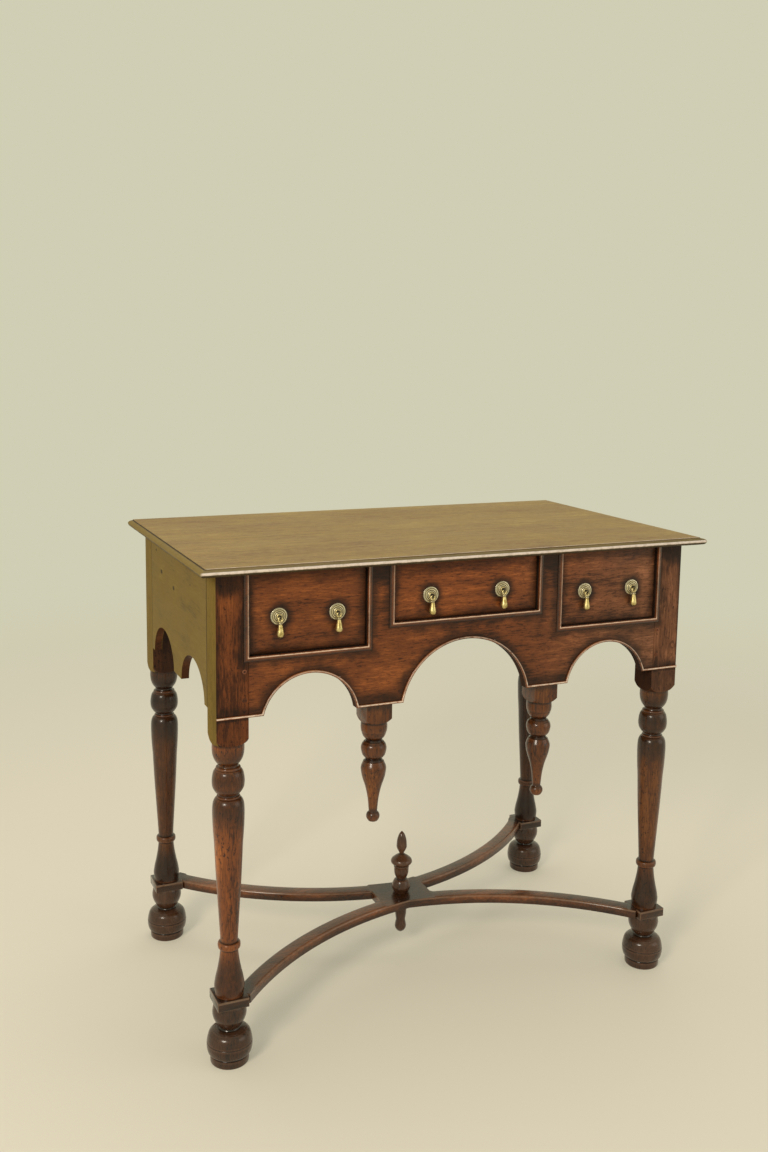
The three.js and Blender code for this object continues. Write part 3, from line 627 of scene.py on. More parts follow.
class Shader:
    """The node tree of one material or world, with one method that adds any node."""

    def __init__(self, owner: Union[bpy.types.Material, bpy.types.World]) -> None:
        """Empties the owner's tree."""
        self.owner = owner
        owner.use_nodes = True
        self.tree = owner.node_tree
        self.tree.nodes.clear()

    def node(self, kind: str, settings: dict, inputs: dict, output: Union[int, str] = 0) -> Field:
        """Adds a node.

        Args:
            kind: Blender's name of the node's type.
            settings: What is set on the node first.
            inputs: Values or links of its sockets, by number or name.
            output: The socket that is given back.

        Returns:
            That output.
        """
        made = self.tree.nodes.new(kind)
        for name, value in settings.items():
            setattr(made, name, value)
        for key, value in inputs.items():
            if isinstance(value, Field):
                self.tree.links.new(value.socket, made.inputs[key])
            else:
                made.inputs[key].default_value = value
        return Field(self, made.outputs[output] if made.outputs else None)

    def place(self) -> Field:
        """Where on the object the surface is, in metres."""
        return self.node("ShaderNodeTexCoord", {}, {}, "Object")

    def attribute(self, name: str) -> Field:
        """A number that is stored on the mesh."""
        return self.node("ShaderNodeAttribute", {"attribute_name": name}, {}, "Fac")

    def parts(self, vector: Field) -> tuple[Field, Field, Field]:
        """The three numbers of a vector."""
        first = self.node("ShaderNodeSeparateXYZ", {}, {0: vector})
        return first, first.other(1), first.other(2)

    def seen(self) -> Field:
        """1 for what the camera sees, also in a mirror or through glass."""
        path = self.node("ShaderNodeLightPath", {}, {}, "Is Camera Ray")
        return path.most(path.other("Is Glossy Ray")).most(path.other("Is Transmission Ray"))

    def noise(self, vector: Field, scale: float, detail: float, roughness: float = 0.55) -> Field:
        """Noise from 0 to 1, about 0.5."""
        return self.node("ShaderNodeTexNoise", {}, {
            "Vector": vector, "Scale": scale, "Detail": detail, "Roughness": roughness})

    def mix(self, factor: Number, first: Union[Field, tuple], second: Union[Field, tuple]) -> Field:
        """One colour over another."""
        settings = {"data_type": "RGBA", "clamp_factor": True}
        return self.node("ShaderNodeMix", settings, {0: factor, 6: first, 7: second}, 2)

    def bump(self, height: Field, strength: float, distance: float, under: Optional[Field] = None) -> Field:
        """The normal of a bumpy surface, with its height in millimetres, over another normal."""
        inputs = {"Height": height, "Strength": strength, "Distance": distance * MM}
        return self.node("ShaderNodeBump", {}, {**inputs, "Normal": under} if under else inputs)

    def finish(self, inputs: dict) -> bpy.types.Material:
        """Ends the tree with a Principled shader that has these inputs."""
        self.node("ShaderNodeOutputMaterial", {}, {
            "Surface": self.node("ShaderNodeBsdfPrincipled", {}, inputs)})
        return self.owner


class Grain(Enum):
    """Which way the grain runs, as the turn that brings it to X."""

    ALONG_X = (0.0, 0.0, 0.0)
    ALONG_Y = (0.0, 0.0, -math.pi / 2)
    ALONG_Z = (0.0, math.pi / 2, 0.0)


class Spot:
    """A spot of a piece's surface, for marks that depend on the place."""

    def __init__(self, shader: Shader, place: Field, breakup: Field) -> None:
        """Keeps the shader, the place and a fine noise, and takes the place apart."""
        self.shader = shader
        self.place = place
        self.breakup = breakup
        self.x, self.y, self.z = shader.parts(place)

    @cached_property
    def slow(self) -> Field:
        """Slow noise about zero."""
        return self.shader.noise(self.place, 36, 2) - 0.5

    def stray(self, reach: float) -> Field:
        """Fine noise about zero, over a reach in millimetres."""
        return (self.breakup - 0.5) * (reach * MM)

    def wander(self, reach: float) -> Field:
        """Slow noise over 30 mm with fine noise over a reach in millimetres."""
        return self.slow * (30 * MM) + self.stray(reach)

    @property
    def cool(self) -> Field:
        """How far the front has turned to its cooler brown, more so to the right."""
        return self.x.fade(0.02, 0.34) * 0.8


@dataclass
class Marks:
    """Where a piece is worn and where it has a painted highlight, where it is dirty and where it has painted
    shade, its zones that have another finish, among them painted reflection and shaded copies, and where it is
    glossy.
    """

    wear_and_highlight: Number = 0.0
    dirt_and_shade: Number = 0.0
    zones: Sequence[tuple[Field, "Oak"]] = ()
    gloss: Number = 1.0


# Noises of the oak: share of its scale along the grain, scale, detail and roughness
BLOTCH = (0.5, 26, 3, 0.6)
PATCH = (0.45, 8, 2, 0.6)
BAND = (0.07, 110, 3, 0.6)
FIBRE = (0.1, 460, 4, 0.6)
DASH = (0.2, 620, 2, 0.6)
PORES = (0.09, 1500, 2, 0.6)
BREAKUP = (0.6, 160, 3, 0.7)
RAYS = (0.7, 230, 2, 0.7)
SWELL = (0.5, 9, 2, 0.6)


@dataclass(frozen=True)
class Oak:
    """A finish on oak: its colours and how strong its figure and its marks are."""

    name: str
    slot: str
    deep: str
    body: str
    glow: str
    # Colour of wear, and on some finishes of a painted highlight
    rubbed: str
    # Colour of dirt and pores, and also of painted shade
    grime: str
    roughness: float
    coat: float = 0.0
    shine: float = 0.25
    figure: float = 0.5
    cloud: float = 1.0
    dashes: float = 0.5
    flecks: float = 0.0
    rub_strength: float = 0.85
    grime_strength: float = 0.85

    def toned(self, share: float) -> "Oak":
        """The same finish, with its brightness as a share of this one's.

        Args:
            share: The share, over 1 for a lighter finish.

        Returns:
            The finish.
        """
        codes = {name: getattr(self, name) for name in ("deep", "body", "glow")}
        return replace(self, **{name: "".join(
            f"{min(255, round(int(code[i : i + 2], 16) * share)):02x}" for i in (0, 2, 4))
            for name, code in codes.items()})

    def wood(self, shader: Shader, tone: Field, pores: Field) -> Field:
        """The bare colour, from its dark to its bright parts.

        Args:
            shader: The shader that it is for.
            tone: How bright the wood is, about 0.5.
            pores: Where its pores are.

        Returns:
            The colour.
        """
        low = shader.mix(tone.fade(0.05, 0.52), colour(self.deep), colour(self.body))
        bare = shader.mix(tone.fade(0.5, 0.98), low, colour(self.glow))
        return shader.mix(pores * (0.6 * self.figure), bare, colour(self.grime))

    def material(self, grain: Grain, seed: int, marking: Optional[Marking] = None,
                 aged: bool = False) -> bpy.types.Material:
        """Makes the material for one piece.

        Args:
            grain: Which way its grain runs.
            seed: A number of its own, so that no two pieces match.
            marking: Gives the marks that the piece has by its place.
            aged: Whether its mesh stores where it is rubbed.

        Returns:
            The material.
        """
        shader = Shader(bpy.data.materials.new(f"{self.name}_{seed}"))
        place = shader.place()
        turned = shader.node("ShaderNodeMapping", {}, {
            "Vector": place, "Location": (0.37 * seed, 0.53 * seed, 0.71 * seed), "Rotation": grain.value})

        def grown(share: float, *form: float) -> Field:
            """Noise that is drawn out along the grain."""
            return shader.noise(
                shader.node("ShaderNodeMapping", {}, {"Vector": turned, "Scale": (share, 1, 1)}), *form)

        blotch = grown(*BLOTCH)
        fibre = grown(*FIBRE)
        pores = grown(*PORES).fade(0.6, 0.7)
        tone = ((blotch + grown(*PATCH) - 1.0) * (1.15 * self.cloud)
                + (grown(*BAND) * 1.1 + fibre * 2.0 - 1.55) * self.figure
                - grown(*DASH).fade(0.52, 0.66) * (0.45 * self.dashes) + 0.53)
        if self.flecks > 0:
            tone = tone - grown(*RAYS).fade(0.58, 0.68) * blotch.fade(0.4, 0.6) * self.flecks
        breakup = grown(*BREAKUP)
        marks = marking(Spot(shader, place, breakup)) if marking else Marks()
        wood = self.wood(shader, tone, pores)
        rough = self.roughness + (blotch - 0.5) * 0.25 + pores * 0.15
        for zone, other in marks.zones:
            calmer = (tone - 0.5) * (other.figure / self.figure) + 0.5
            wood = shader.mix(zone, wood, other.wood(shader, calmer, pores))
            rough = rough + zone * (other.roughness - self.roughness)
        wear_and_highlight, dirt_and_shade = marks.wear_and_highlight, marks.dirt_and_shade
        if aged:
            wear_and_highlight = shader.attribute("rubbed").most(wear_and_highlight)
            dirt_and_shade = shader.attribute("grime").most(dirt_and_shade)
        # Real dirt and painted shade both darken the wood to the grime colour
        if isinstance(dirt_and_shade, Field):
            dirt_and_shade = (dirt_and_shade * (0.7 + breakup * 0.7)).least(1.0) * self.grime_strength
            wood = shader.mix(dirt_and_shade, wood, colour(self.grime))
        # Real wear and painted highlights both pale the wood to the rubbed colour
        if isinstance(wear_and_highlight, Field):
            wear_and_highlight = (wear_and_highlight * (breakup * 1.6 + 0.15)).least(1.0).most(0.0) * self.rub_strength
            wood = shader.mix(wear_and_highlight, wood, colour(self.rubbed))
        fine = shader.bump(fibre * 0.35 - pores * 0.8, 0.35, 0.25)
        return shader.finish({
            "Base Color": wood, "Roughness": rough, "Specular IOR Level": self.shine,
            "Coat Weight": marks.gloss * self.coat, "Coat Roughness": 0.16,
            "Normal": shader.bump(grown(*SWELL), 0.3, 1.6, fine)})


@dataclass(frozen=True)
class Brass:
    """Old brass: dull in the hollows and rubbed bright on the high places."""

    name: str = "brass"
    bright: str = "fff8dc"
    body: str = "e2d094"
    dull: str = "b59f60"
    grime: str = "2b2416"

    def material(self, seed: int, grooves_and_eye_shade: Optional[Callable[[Field], Field]] = None) -> bpy.types.Material:
        """Makes the material for one piece.

        Args:
            seed: A number of its own.
            grooves_and_eye_shade: Takes the place and says how dark the grooves are, and where painted shade
                lies on the middle behind the drop's eye.

        Returns:
            The material.
        """
        shader = Shader(bpy.data.materials.new(f"{self.name}_{seed}"))
        place = shader.place()
        moved = shader.node("ShaderNodeMapping", {}, {"Vector": place, "Location": (0.21 * seed, 0.4, 0.1)})
        cloud = shader.noise(moved, 210, 3)
        fine = shader.noise(moved, 1500, 3, 0.7)
        wear_and_highlight = shader.attribute("rubbed")
        dirt_and_shade = shader.attribute("grime")
        if grooves_and_eye_shade:
            dirt_and_shade = dirt_and_shade.most(grooves_and_eye_shade(place))
        dirt_and_shade = (dirt_and_shade * (0.5 + cloud)).least(1.0)
        metal = shader.mix(cloud.fade(0.35, 0.6), colour(self.dull), colour(self.body))
        metal = shader.mix((wear_and_highlight * 0.9 + fine.fade(0.55, 0.75) * 0.25).least(1.0), metal, colour(self.bright))
        return shader.finish({
            "Base Color": shader.mix(dirt_and_shade, metal, colour(self.grime)), "Metallic": 1 - dirt_and_shade * 0.75,
            "Roughness": 0.3 + cloud * 0.16 + dirt_and_shade * 0.4 - wear_and_highlight * 0.1,
            "Normal": shader.bump(fine + cloud, 0.15, 0.05)})


# The olive of TOP_OAK, MOULD_OAK and SIDE_OAK is a painted reflection of greenish surroundings; TOP_OAK's
# near-white rubbed colour is a painted highlight on the front nose and arris
TOP_OAK = Oak("top_oak", "top_oak", "7d5a2e", "9a7c46", "b09455", "f4e6da", "2b2015", 0.5, figure=0.75,
              cloud=0.6, dashes=0.45)
MOULD_OAK = Oak("mould_oak", "top_oak", "53441f", "6f5d30", "877243", "f6eae0", "1e150d", 0.45)
SIDE_OAK = Oak("side_oak", "top_oak", "5f4c1e", "7a642c", "8b753c", "a88f6a", "2b2015", 0.6, shine=0.15,
               figure=0.35, cloud=0.8, dashes=0.0)
FRONT_OAK = Oak("front_oak", "front_oak", "3f200f", "703d1d", "965629", "b0765a", "150e09", 0.4, figure=0.65,
                cloud=0.9, dashes=0.6, flecks=0.25)
COOL_OAK = replace(FRONT_OAK, deep="3f271a", body="6c4730", glow="926548")
REVEAL_OAK = replace(FRONT_OAK.toned(0.6), roughness=0.85)
# The pale rubbed colours of BEAD_OAK and EDGE_OAK are painted highlights on the opening beads' inner arrises
# and on the arch bead's crest
BEAD_OAK = Oak("bead_oak", "front_oak", "3a1c0d", "623518", "844822", "ecccb0", "120b07", 0.26, coat=0.5,
               figure=0.4, rub_strength=0.92)
EDGE_OAK = replace(BEAD_OAK, body="7e451c", glow="a8622c", rubbed="ecd8c2")
TURNED_OAK = Oak("turned_oak", "turned_oak", "34190a", "6c3a16", "9a5a24", "8f5a38", "120b07", 0.3, coat=0.5,
                 shine=0.2, figure=0.6, dashes=0.4, flecks=0.6, rub_strength=0.3)
FOOT_OAK = Oak("foot_oak", "turned_oak", "241810", "452c1c", "61412c", "7c5843", "100906", 0.26, coat=0.5,
               figure=0.4, rub_strength=0.25)
# STRETCHER_OAK's rubbed colour serves for wear and for a painted highlight along the top bevels
STRETCHER_OAK = Oak("stretcher_oak", "turned_oak", "2e170b", "5f361a", "8a5029", "a8876c", "150d08", 0.26,
                    coat=0.6, figure=0.6, rub_strength=0.45)
INSIDE_OAK = Oak("inside_oak", "inside_oak", "6d5230", "86693f", "9a7c4e", "a98c60", "3d2d1b", 0.7, shine=0.2)


# Sub-assemblies


@dataclass
class TableTop:
    """The two moulded boards of the top."""

    mould_width: float = 8 * MM
    quirk_drop: float = 1.2 * MM
    nose_share: float = 0.42
    wobble: float = 0.7 * MM
    wear_reach: float = 12.8 * MM
    wear_depth: float = 6 * MM
    # Cuts across the edges that run along X and along Y, which are all longer than this
    cuts: tuple[int, int] = (72, 40)
    long_edge: float = 0.3
    # Share of the mould's width in from the nose, share of the height below the quirk
    upper_shares: tuple[Point, ...] = (
        (0, 0.42), (0.05, 0.32), (0.15, 0.22), (0.4, 0.1), (0.7, 0.03), (0.98, 0.01))
    lower_shares: tuple[Point, ...] = ((0, 0.42), (0.02, 0.58), (0.12, 0.78), (0.26, 0.92), (0.45, 1))
    # Millimetres in from the mould, share of the quirk's height
    quirk_steps: tuple[Point, ...] = ((0, 0.25), (0.15, 0.8), (0.8, 1), (3, 1))
    joint_dirt: Band = Band(0.9, 0.2, 0.7)
    # Painted shade in the quirk and under the nose
    quirk_painted_shade: Band = Band(1.3, 0.5)
    under_nose_painted_shade: tuple[Band, Band] = (Band(4.2, 2.6), Band(9, 5, 0.9))
    # Painted highlight on the arris and the nose, kept to the front, which faces the light
    front_only: Band = Band(-3, 4)
    arris_highlight: Band = Band(1.1, 0.4, 0.7)
    nose_highlight: tuple[Band, Band, Band] = (Band(3.2, 4.6), Band(8, 6.6), Band(5, 3))
    mould: Band = Band(8, 6.4)

    def _cap(self, low: Vector, high: Vector, rings: Sequence[Point], up: bool) -> Work:
        """Half of the slab, from its nose in to a flat face.

        Args:
            low: The slab's lowest corner.
            high: Its highest corner.
            rings: How far in and how far up or down each ring is from the nose.
            up: Whether the half faces up.

        Returns:
            An open shell.
        """
        height = low.z + (high.z - low.z - self.quirk_drop) * (1 - self.nose_share)
        extra = self.mould_width * 2
        work = Work.sheet(
            "slab", ((low.x + high.x) / 2, (low.y + high.y + extra) / 2, height),
            (0 if up else math.pi, 0, 0), high.x - low.x, high.y - low.y + extra)
        inset_rings((0.0, 0.0), rings)
        bpy.ops.object.mode_set(mode="OBJECT")
        return work

    def _slab(self, low: Vector, high: Vector) -> Work:
        """The whole slab, moulded on the front and both ends.

        Args:
            low: Its lowest corner.
            high: Its highest corner.

        Returns:
            The solid.
        """
        width = self.mould_width
        height = high.z - low.z - self.quirk_drop
        nose = height * (1 - self.nose_share)
        upper = [(width * i, height * (1 - d) - nose) for i, d in spline(self.upper_shares, 14)][1:]
        upper += [(width + i * MM, height - nose + self.quirk_drop * u) for i, u in self.quirk_steps]
        lower = [(width * i, nose - height * (1 - d)) for i, d in spline(self.lower_shares, 8)][1:]
        lower.append((lower[-1][0] + 2 * MM, lower[-1][1]))
        work = self._cap(low, high, upper, True)
        work.gather([self._cap(low, high, lower, False)])
        work.edit().close()
        for axis, cuts in enumerate(self.cuts):
            work.edit()
            work.pick(lambda a, b, axis=axis: abs(a[axis] - b[axis]) > self.long_edge)
            bpy.ops.mesh.subdivide(number_cuts=cuts)
            work.close()
        return work

    def _worn(self, place: Vector, low: Vector, high: Vector) -> Vector:
        """How far use has moved a point of the slab: the edges sag and are nibbled from below.

        Args:
            place: The point.
            low: The slab's lowest corner.
            high: Its highest corner.

        Returns:
            The move.
        """
        to_end = min(place.x - low.x, high.x - place.x)
        to_front = place.y - low.y
        near = max(0.0, 1 - min(to_end, to_front) / self.wear_reach)
        below = max(0.0, min(1.0, (high.z - self.quirk_drop - place.z) / self.wear_depth))
        slow = noise.noise(place * 7) * self.wobble
        quick = noise.noise(Vector((place.x * 60, place.y * 60, 3))) * self.wobble
        nibble = abs(noise.noise(Vector((place.x * 130, place.y * 130, 9)))) * self.wobble * 1.5
        across = 0 if to_end >= self.mould_width else -1 if place.x > 0 else 1
        inward = Vector((across, 1 if to_front < self.mould_width else 0, 0)) * MM
        return Vector((0, 0, near * below * (quick * 0.5 + nibble))) + inward * near * (0.2 + slow / MM)

    def build(self) -> None:
        """Makes both boards."""
        low, front_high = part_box("top_board_front")
        rear_low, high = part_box("top_board_rear")
        joint = (front_high.y + rear_low.y) / 2
        slab = self._slab(low, high)
        slab.shift(lambda place: self._worn(place, low, high))
        slab.slice((0, high.y, 0), (0, 1, 0))

        def marks(at: Spot) -> Marks:
            """Dirt in the joint, painted shade in the quirk and under the nose, and a painted highlight on the
            front's nose and arris.
            """
            front = at.y - low.y
            end = (at.x - low.x).least(front_high.x - at.x)
            edge = front.least(end)
            rise = at.z - low.z
            at_front = self.front_only(end - front)
            line = self.joint_dirt(abs(at.y - joint + at.stray(0.4)))
            # Painted shade in the quirk and under the nose
            quirk = self.quirk_painted_shade(abs(edge - self.mould_width * 0.95)) * (1 - at_front * 0.5)
            under = self.under_nose_painted_shade[0](rise + at.stray(5)) * self.under_nose_painted_shade[1](edge)
            # Painted highlight on the front's arris and nose
            arris = self.arris_highlight(abs(front - self.mould_width * 1.14))
            nose = self.nose_highlight[0](rise + at.stray(1)) * self.nose_highlight[1](rise) * self.nose_highlight[2](edge)
            mould = self.mould(edge)
            # Only the front, which faces the light, gets the painted highlight; the mould at the ends takes the
            # side panels' olive, a painted reflection
            return Marks(nose.most(arris) * at_front, line.most(quirk).most(under),
                         [(mould, MOULD_OAK), (mould * (1 - at_front), SIDE_OAK.toned(1.06))])

        rear, front = slab.copy("top_rear"), slab.copy("top_front")
        slab.remove()
        front.slice((0, front_high.y, 0), (0, 1, 0))
        rear.slice((0, rear_low.y, 0), (0, -1, 0))
        for seed, work, end in ((1, front, "front"), (2, rear, "rear")):
            work.smooth(24).dress(f"top_board_{end}", TOP_OAK, Grain.ALONG_X, seed, marks)


def inset_rings(before: Point, rings: Sequence[Point]) -> None:
    """Insets the selected face ring by ring.

    Args:
        before: How far in and how far out the face stands at first.
        rings: The same for each ring.
    """
    for inward, rise in rings:
        bpy.ops.mesh.inset(thickness=inward - before[0], depth=rise - before[1])
        before = (inward, rise)


@dataclass
class CornerPost:
    """A square block that runs down into a turning, as on the legs and the pendants."""

    width: float
    bottom: float
    top: float
    shoulder: float
    radius: float
    strokes: tuple[Stroke, ...]
    base: float
    arris: float = 0.8 * MM

    def build(self, name: str) -> Work:
        """The post about its own axis.

        Args:
            name: The name of the piece.

        Returns:
            The closed solid.
        """
        half = self.width / 2
        block = Work.between(name, (-half, half), (-half, half), (self.bottom, self.top))
        block.soften(self.arris, lambda a, b: abs(a.z - b.z) > self.shoulder)
        corner = half * math.sqrt(2)
        swell = [
            (self.radius, self.bottom - SPARE),
            *spline(((self.radius, self.bottom), ((self.radius + corner) / 2, self.bottom + self.shoulder / 4),
                     (corner + SPARE, self.bottom + self.shoulder)), 8),
            (corner + SPARE, self.top + SPARE)]
        block.common(Work.turned("pommel", swell, 96))
        outline = turned_outline(self.strokes, self.base, self.bottom - self.base, self.radius)
        outline.append((outline[-1][0], self.bottom + 2 * SPARE))
        return block.join(Work.turned("turning", outline, 64))


LEG_STROKES = (
    Stroke(22, ((0, 0.885), (0.012, 0.91), (0.037, 0.945), (0.053, 0.91), (0.075, 0.847), (0.096, 0.763),
                (0.13, 0.657), (0.155, 0.597), (0.177, 0.564), (0.184, 0.562))),
    Stroke(10, ((0.186, 0.6), (0.188, 0.66), (0.192, 0.7), (0.1995, 0.712), (0.207, 0.7), (0.211, 0.66),
                (0.213, 0.58))),
    Stroke(26, ((0.214, 0.54), (0.254, 0.572), (0.365, 0.68), (0.472, 0.785), (0.561, 0.856), (0.609, 0.89),
                (0.663, 0.955), (0.725, 0.99), (0.757, 0.97), (0.773, 0.911), (0.7825, 0.82), (0.786, 0.745))),
    Stroke(5, ((0.7868, 0.71), (0.79, 0.722), (0.7935, 0.71), (0.7945, 0.68))),
    Stroke(3, ((0.796, 0.635), (0.7995, 0.615), (0.803, 0.64))),
    Stroke(22, ((0.8045, 0.7), (0.8107, 0.805), (0.8295, 0.966), (0.856, 1), (0.883, 0.93), (0.894, 0.84),
                (0.8972, 0.785))),
    Stroke(5, ((0.8978, 0.755), (0.902, 0.765), (0.906, 0.745), (0.9075, 0.7))),
    Stroke(4, ((0.9095, 0.64), (0.914, 0.615), (0.919, 0.64))),
    Stroke(12, ((0.921, 0.68), (0.934, 0.83), (0.95, 0.935), (0.969, 0.985), (0.985, 0.99), (1, 0.97))),
)
FOOT_STROKES = (
    Stroke(6, ((0, 0.815), (0.012, 0.838), (0.03, 0.848), (0.1, 0.852), (0.122, 0.842))),
    Stroke(4, ((0.127, 0.815), (0.142, 0.8), (0.155, 0.835))),
    Stroke(16, ((0.158, 0.875), (0.18, 0.945), (0.225, 0.98), (0.275, 1), (0.34, 0.998))),
    Stroke(3, ((0.345, 0.978), (0.352, 0.972), (0.359, 0.982))),
    Stroke(18, ((0.362, 0.994), (0.41, 0.973), (0.478, 0.924), (0.513, 0.872), (0.535, 0.811), (0.55, 0.755))),
    Stroke(5, ((0.553, 0.71), (0.563, 0.67), (0.57, 0.6), (0.578, 0.54))),
    Stroke(5, ((0.582, 0.47), (0.6, 0.437), (0.612, 0.45))),
    Stroke(20, ((0.62, 0.49), (0.65, 0.55), (0.706, 0.635), (0.775, 0.713), (0.843, 0.747), (0.911, 0.735),
                (0.968, 0.7), (1, 0.665))),
)
PENDANT_STROKES = (
    Stroke(16, ((0, 0), (0.0013, 0.13), (0.0104, 0.33), (0.024, 0.42), (0.043, 0.495), (0.0636, 0.51),
                (0.082, 0.47), (0.094, 0.41))),
    Stroke(22, ((0.0987, 0.35), (0.109, 0.318), (0.135, 0.337), (0.2156, 0.393), (0.287, 0.485), (0.358, 0.617),
                (0.411, 0.76), (0.465, 0.883), (0.526, 0.959), (0.55, 0.944), (0.571, 0.893), (0.597, 0.8),
                (0.607, 0.765))),
    Stroke(3, ((0.61, 0.7), (0.622, 0.64), (0.63, 0.585))),
    Stroke(16, ((0.636, 0.6), (0.6455, 0.7), (0.663, 0.816), (0.685, 0.898), (0.729, 0.964), (0.75, 0.949),
                (0.773, 0.898), (0.79, 0.796), (0.798, 0.75))),
    Stroke(4, ((0.8, 0.69), (0.809, 0.64), (0.817, 0.597))),
    Stroke(12, ((0.821, 0.61), (0.832, 0.68), (0.853, 0.811), (0.877, 0.898), (0.9, 0.944))),
    Stroke(8, ((0.903, 0.965), (0.939, 1), (0.971, 0.99), (1, 0.97))),
)
FINIAL_STROKES = (
    Stroke(14, ((0, 0.66), (0.0375, 0.778), (0.0887, 0.883), (0.138, 0.817), (0.189, 0.69), (0.205, 0.6))),
    Stroke(12, ((0.212, 0.45), (0.222, 0.44), (0.245, 0.505), (0.276, 0.6), (0.327, 0.672), (0.415, 0.7))),
    Stroke(5, ((0.42, 0.725), (0.432, 0.735), (0.444, 0.72))),
    Stroke(16, ((0.447, 0.76), (0.464, 0.85), (0.485, 0.97), (0.508, 1), (0.535, 0.945), (0.553, 0.861),
                (0.595, 0.539), (0.62, 0.3))),
    Stroke(22, ((0.628, 0.205), (0.6527, 0.244), (0.703, 0.411), (0.745, 0.483), (0.8026, 0.47), (0.864, 0.428),
                (0.9515, 0.25), (1, 0))),
)
FINIAL_DROP_STROKES = (
    Stroke(22, ((0, 0), (0.017, 0.27), (0.068, 0.68), (0.136, 0.93), (0.203, 1), (0.288, 0.93), (0.39, 0.82),
                (0.49, 0.9), (0.644, 1), (1, 1))),
)
# Bends, one over the radius in metres, where the rings of a turning start to be rubbed and dirty, and are so
# fully, and the same for the finial
RINGS_AGE = ((60, 420), (90, 520))
FINIAL_AGE = ((80, 500), (90, 520))


@dataclass
class Legs:
    """Four legs, each on its foot."""

    block_bottom: float = 474.5 * MM
    shoulder: float = 13 * MM
    turn_radius: float = 22.9 * MM
    stile_width: float = 46 * MM
    foot_radius: float = 32.8 * MM
    foot_height: float = 87.8 * MM
    # Each leg's end of the case, its side and how light it is, as painted light and shade: lightest at the
    # front left, darker towards the right and the rear
    corners: tuple[tuple[str, str, float], ...] = (
        ("front", "left", 1.12), ("front", "right", 0.74), ("rear", "left", 0.64), ("rear", "right", 0.58))
    # The rear legs' blocks take a darker copy of the front's finish, as painted shade
    rear_block_painted_shade: float = 0.48
    # Heights of the ring groups on the turning
    ring_heights: tuple[float, ...] = (128 * MM, 392 * MM, 436 * MM)
    ring_dirt: Band = Band(52, 12, 0.8)
    block: Band = Band(-1, 1)
    turning: Band = Band(0, -10)
    # Painted shade on the front blocks below the stile's flat
    under_bead_painted_shade: Band = Band(0, -5)
    side: Band = Band(-0.2, 0.2)

    def _marking(self, front: bool, where: Place) -> Marking:
        """What gives a leg its marks.

        Args:
            front: Whether it is one of the front legs.
            where: The middle of the leg.

        Returns:
            A function that gives the marks.
        """
        face = FrontFace()

        def marks(at: Spot) -> Marks:
            """Blocks in the finish of the front, a darker copy as painted shade on the rear legs; on the front
            legs the front's marks with its painted shadow under the top and painted shade low on the block;
            side faces in the side panels' olive, a painted reflection; shafts dark near their rings.
            """
            above = at.z - self.block_bottom
            block = self.block(above)
            side = self.side(abs(at.x) - abs(where[0]) - abs(at.y - where[1])) * block
            near = [abs(at.z - height) for height in self.ring_heights]
            dirt_and_shade = self.ring_dirt(near[0].least(near[1]).least(near[2]) + at.stray(30)) * self.turning(above)
            # Rear blocks are a darker copy of the front's finish, as painted shade
            zones = [(block, FRONT_OAK.toned(1.0 if front else self.rear_block_painted_shade))]
            if front:
                # Painted shade low on the block, stronger to the right
                under = self.under_bead_painted_shade(at.z - face.stile_flat) * block * (0.3 + at.cool * 0.4)
                on_face = face.marks(at)
                dirt_and_shade = dirt_and_shade.most(on_face.dirt_and_shade.most(under) * (1 - side))
                zones += [(zone * block, oak) for zone, oak in on_face.zones]
            # Outer side faces take the side panels' olive, a painted reflection
            return Marks(dirt_and_shade=dirt_and_shade, zones=[*zones, (side, SIDE_OAK)], gloss=1 - block)

        return marks

    def build(self) -> None:
        """Makes one leg and one foot and copies them to the corners."""
        low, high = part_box("leg_front_left")
        leg = CornerPost(self.stile_width, self.block_bottom, high.z, self.shoulder, self.turn_radius,
                         LEG_STROKES, low.z).build("leg")
        foot = Work.turned("foot", turned_outline(FOOT_STROKES, 0.0, self.foot_height, self.foot_radius), 72)
        for i, (end, side, tone) in enumerate(self.corners):
            x, y, _ = middle_of(f"foot_{end}_{side}")
            work = leg.copy(f"turned_leg_{end}_{side}").place((x, y, 0)).smooth(34).age(*RINGS_AGE)
            # Each leg is a lighter or darker copy of the turned finish, as painted light and shade
            work.dress(f"leg_{end}_{side}", TURNED_OAK.toned(tone), Grain.ALONG_Z, 10 + 2 * i,
                       self._marking(end == "front", (x, y, 0)))
            work = foot.copy(f"bun_foot_{end}_{side}").place((x, y, 0)).smooth(40).age(*RINGS_AGE)
            work.dress(f"foot_{end}_{side}", FOOT_OAK, Grain.ALONG_Z, 11 + 2 * i)
        leg.remove()
        foot.remove()


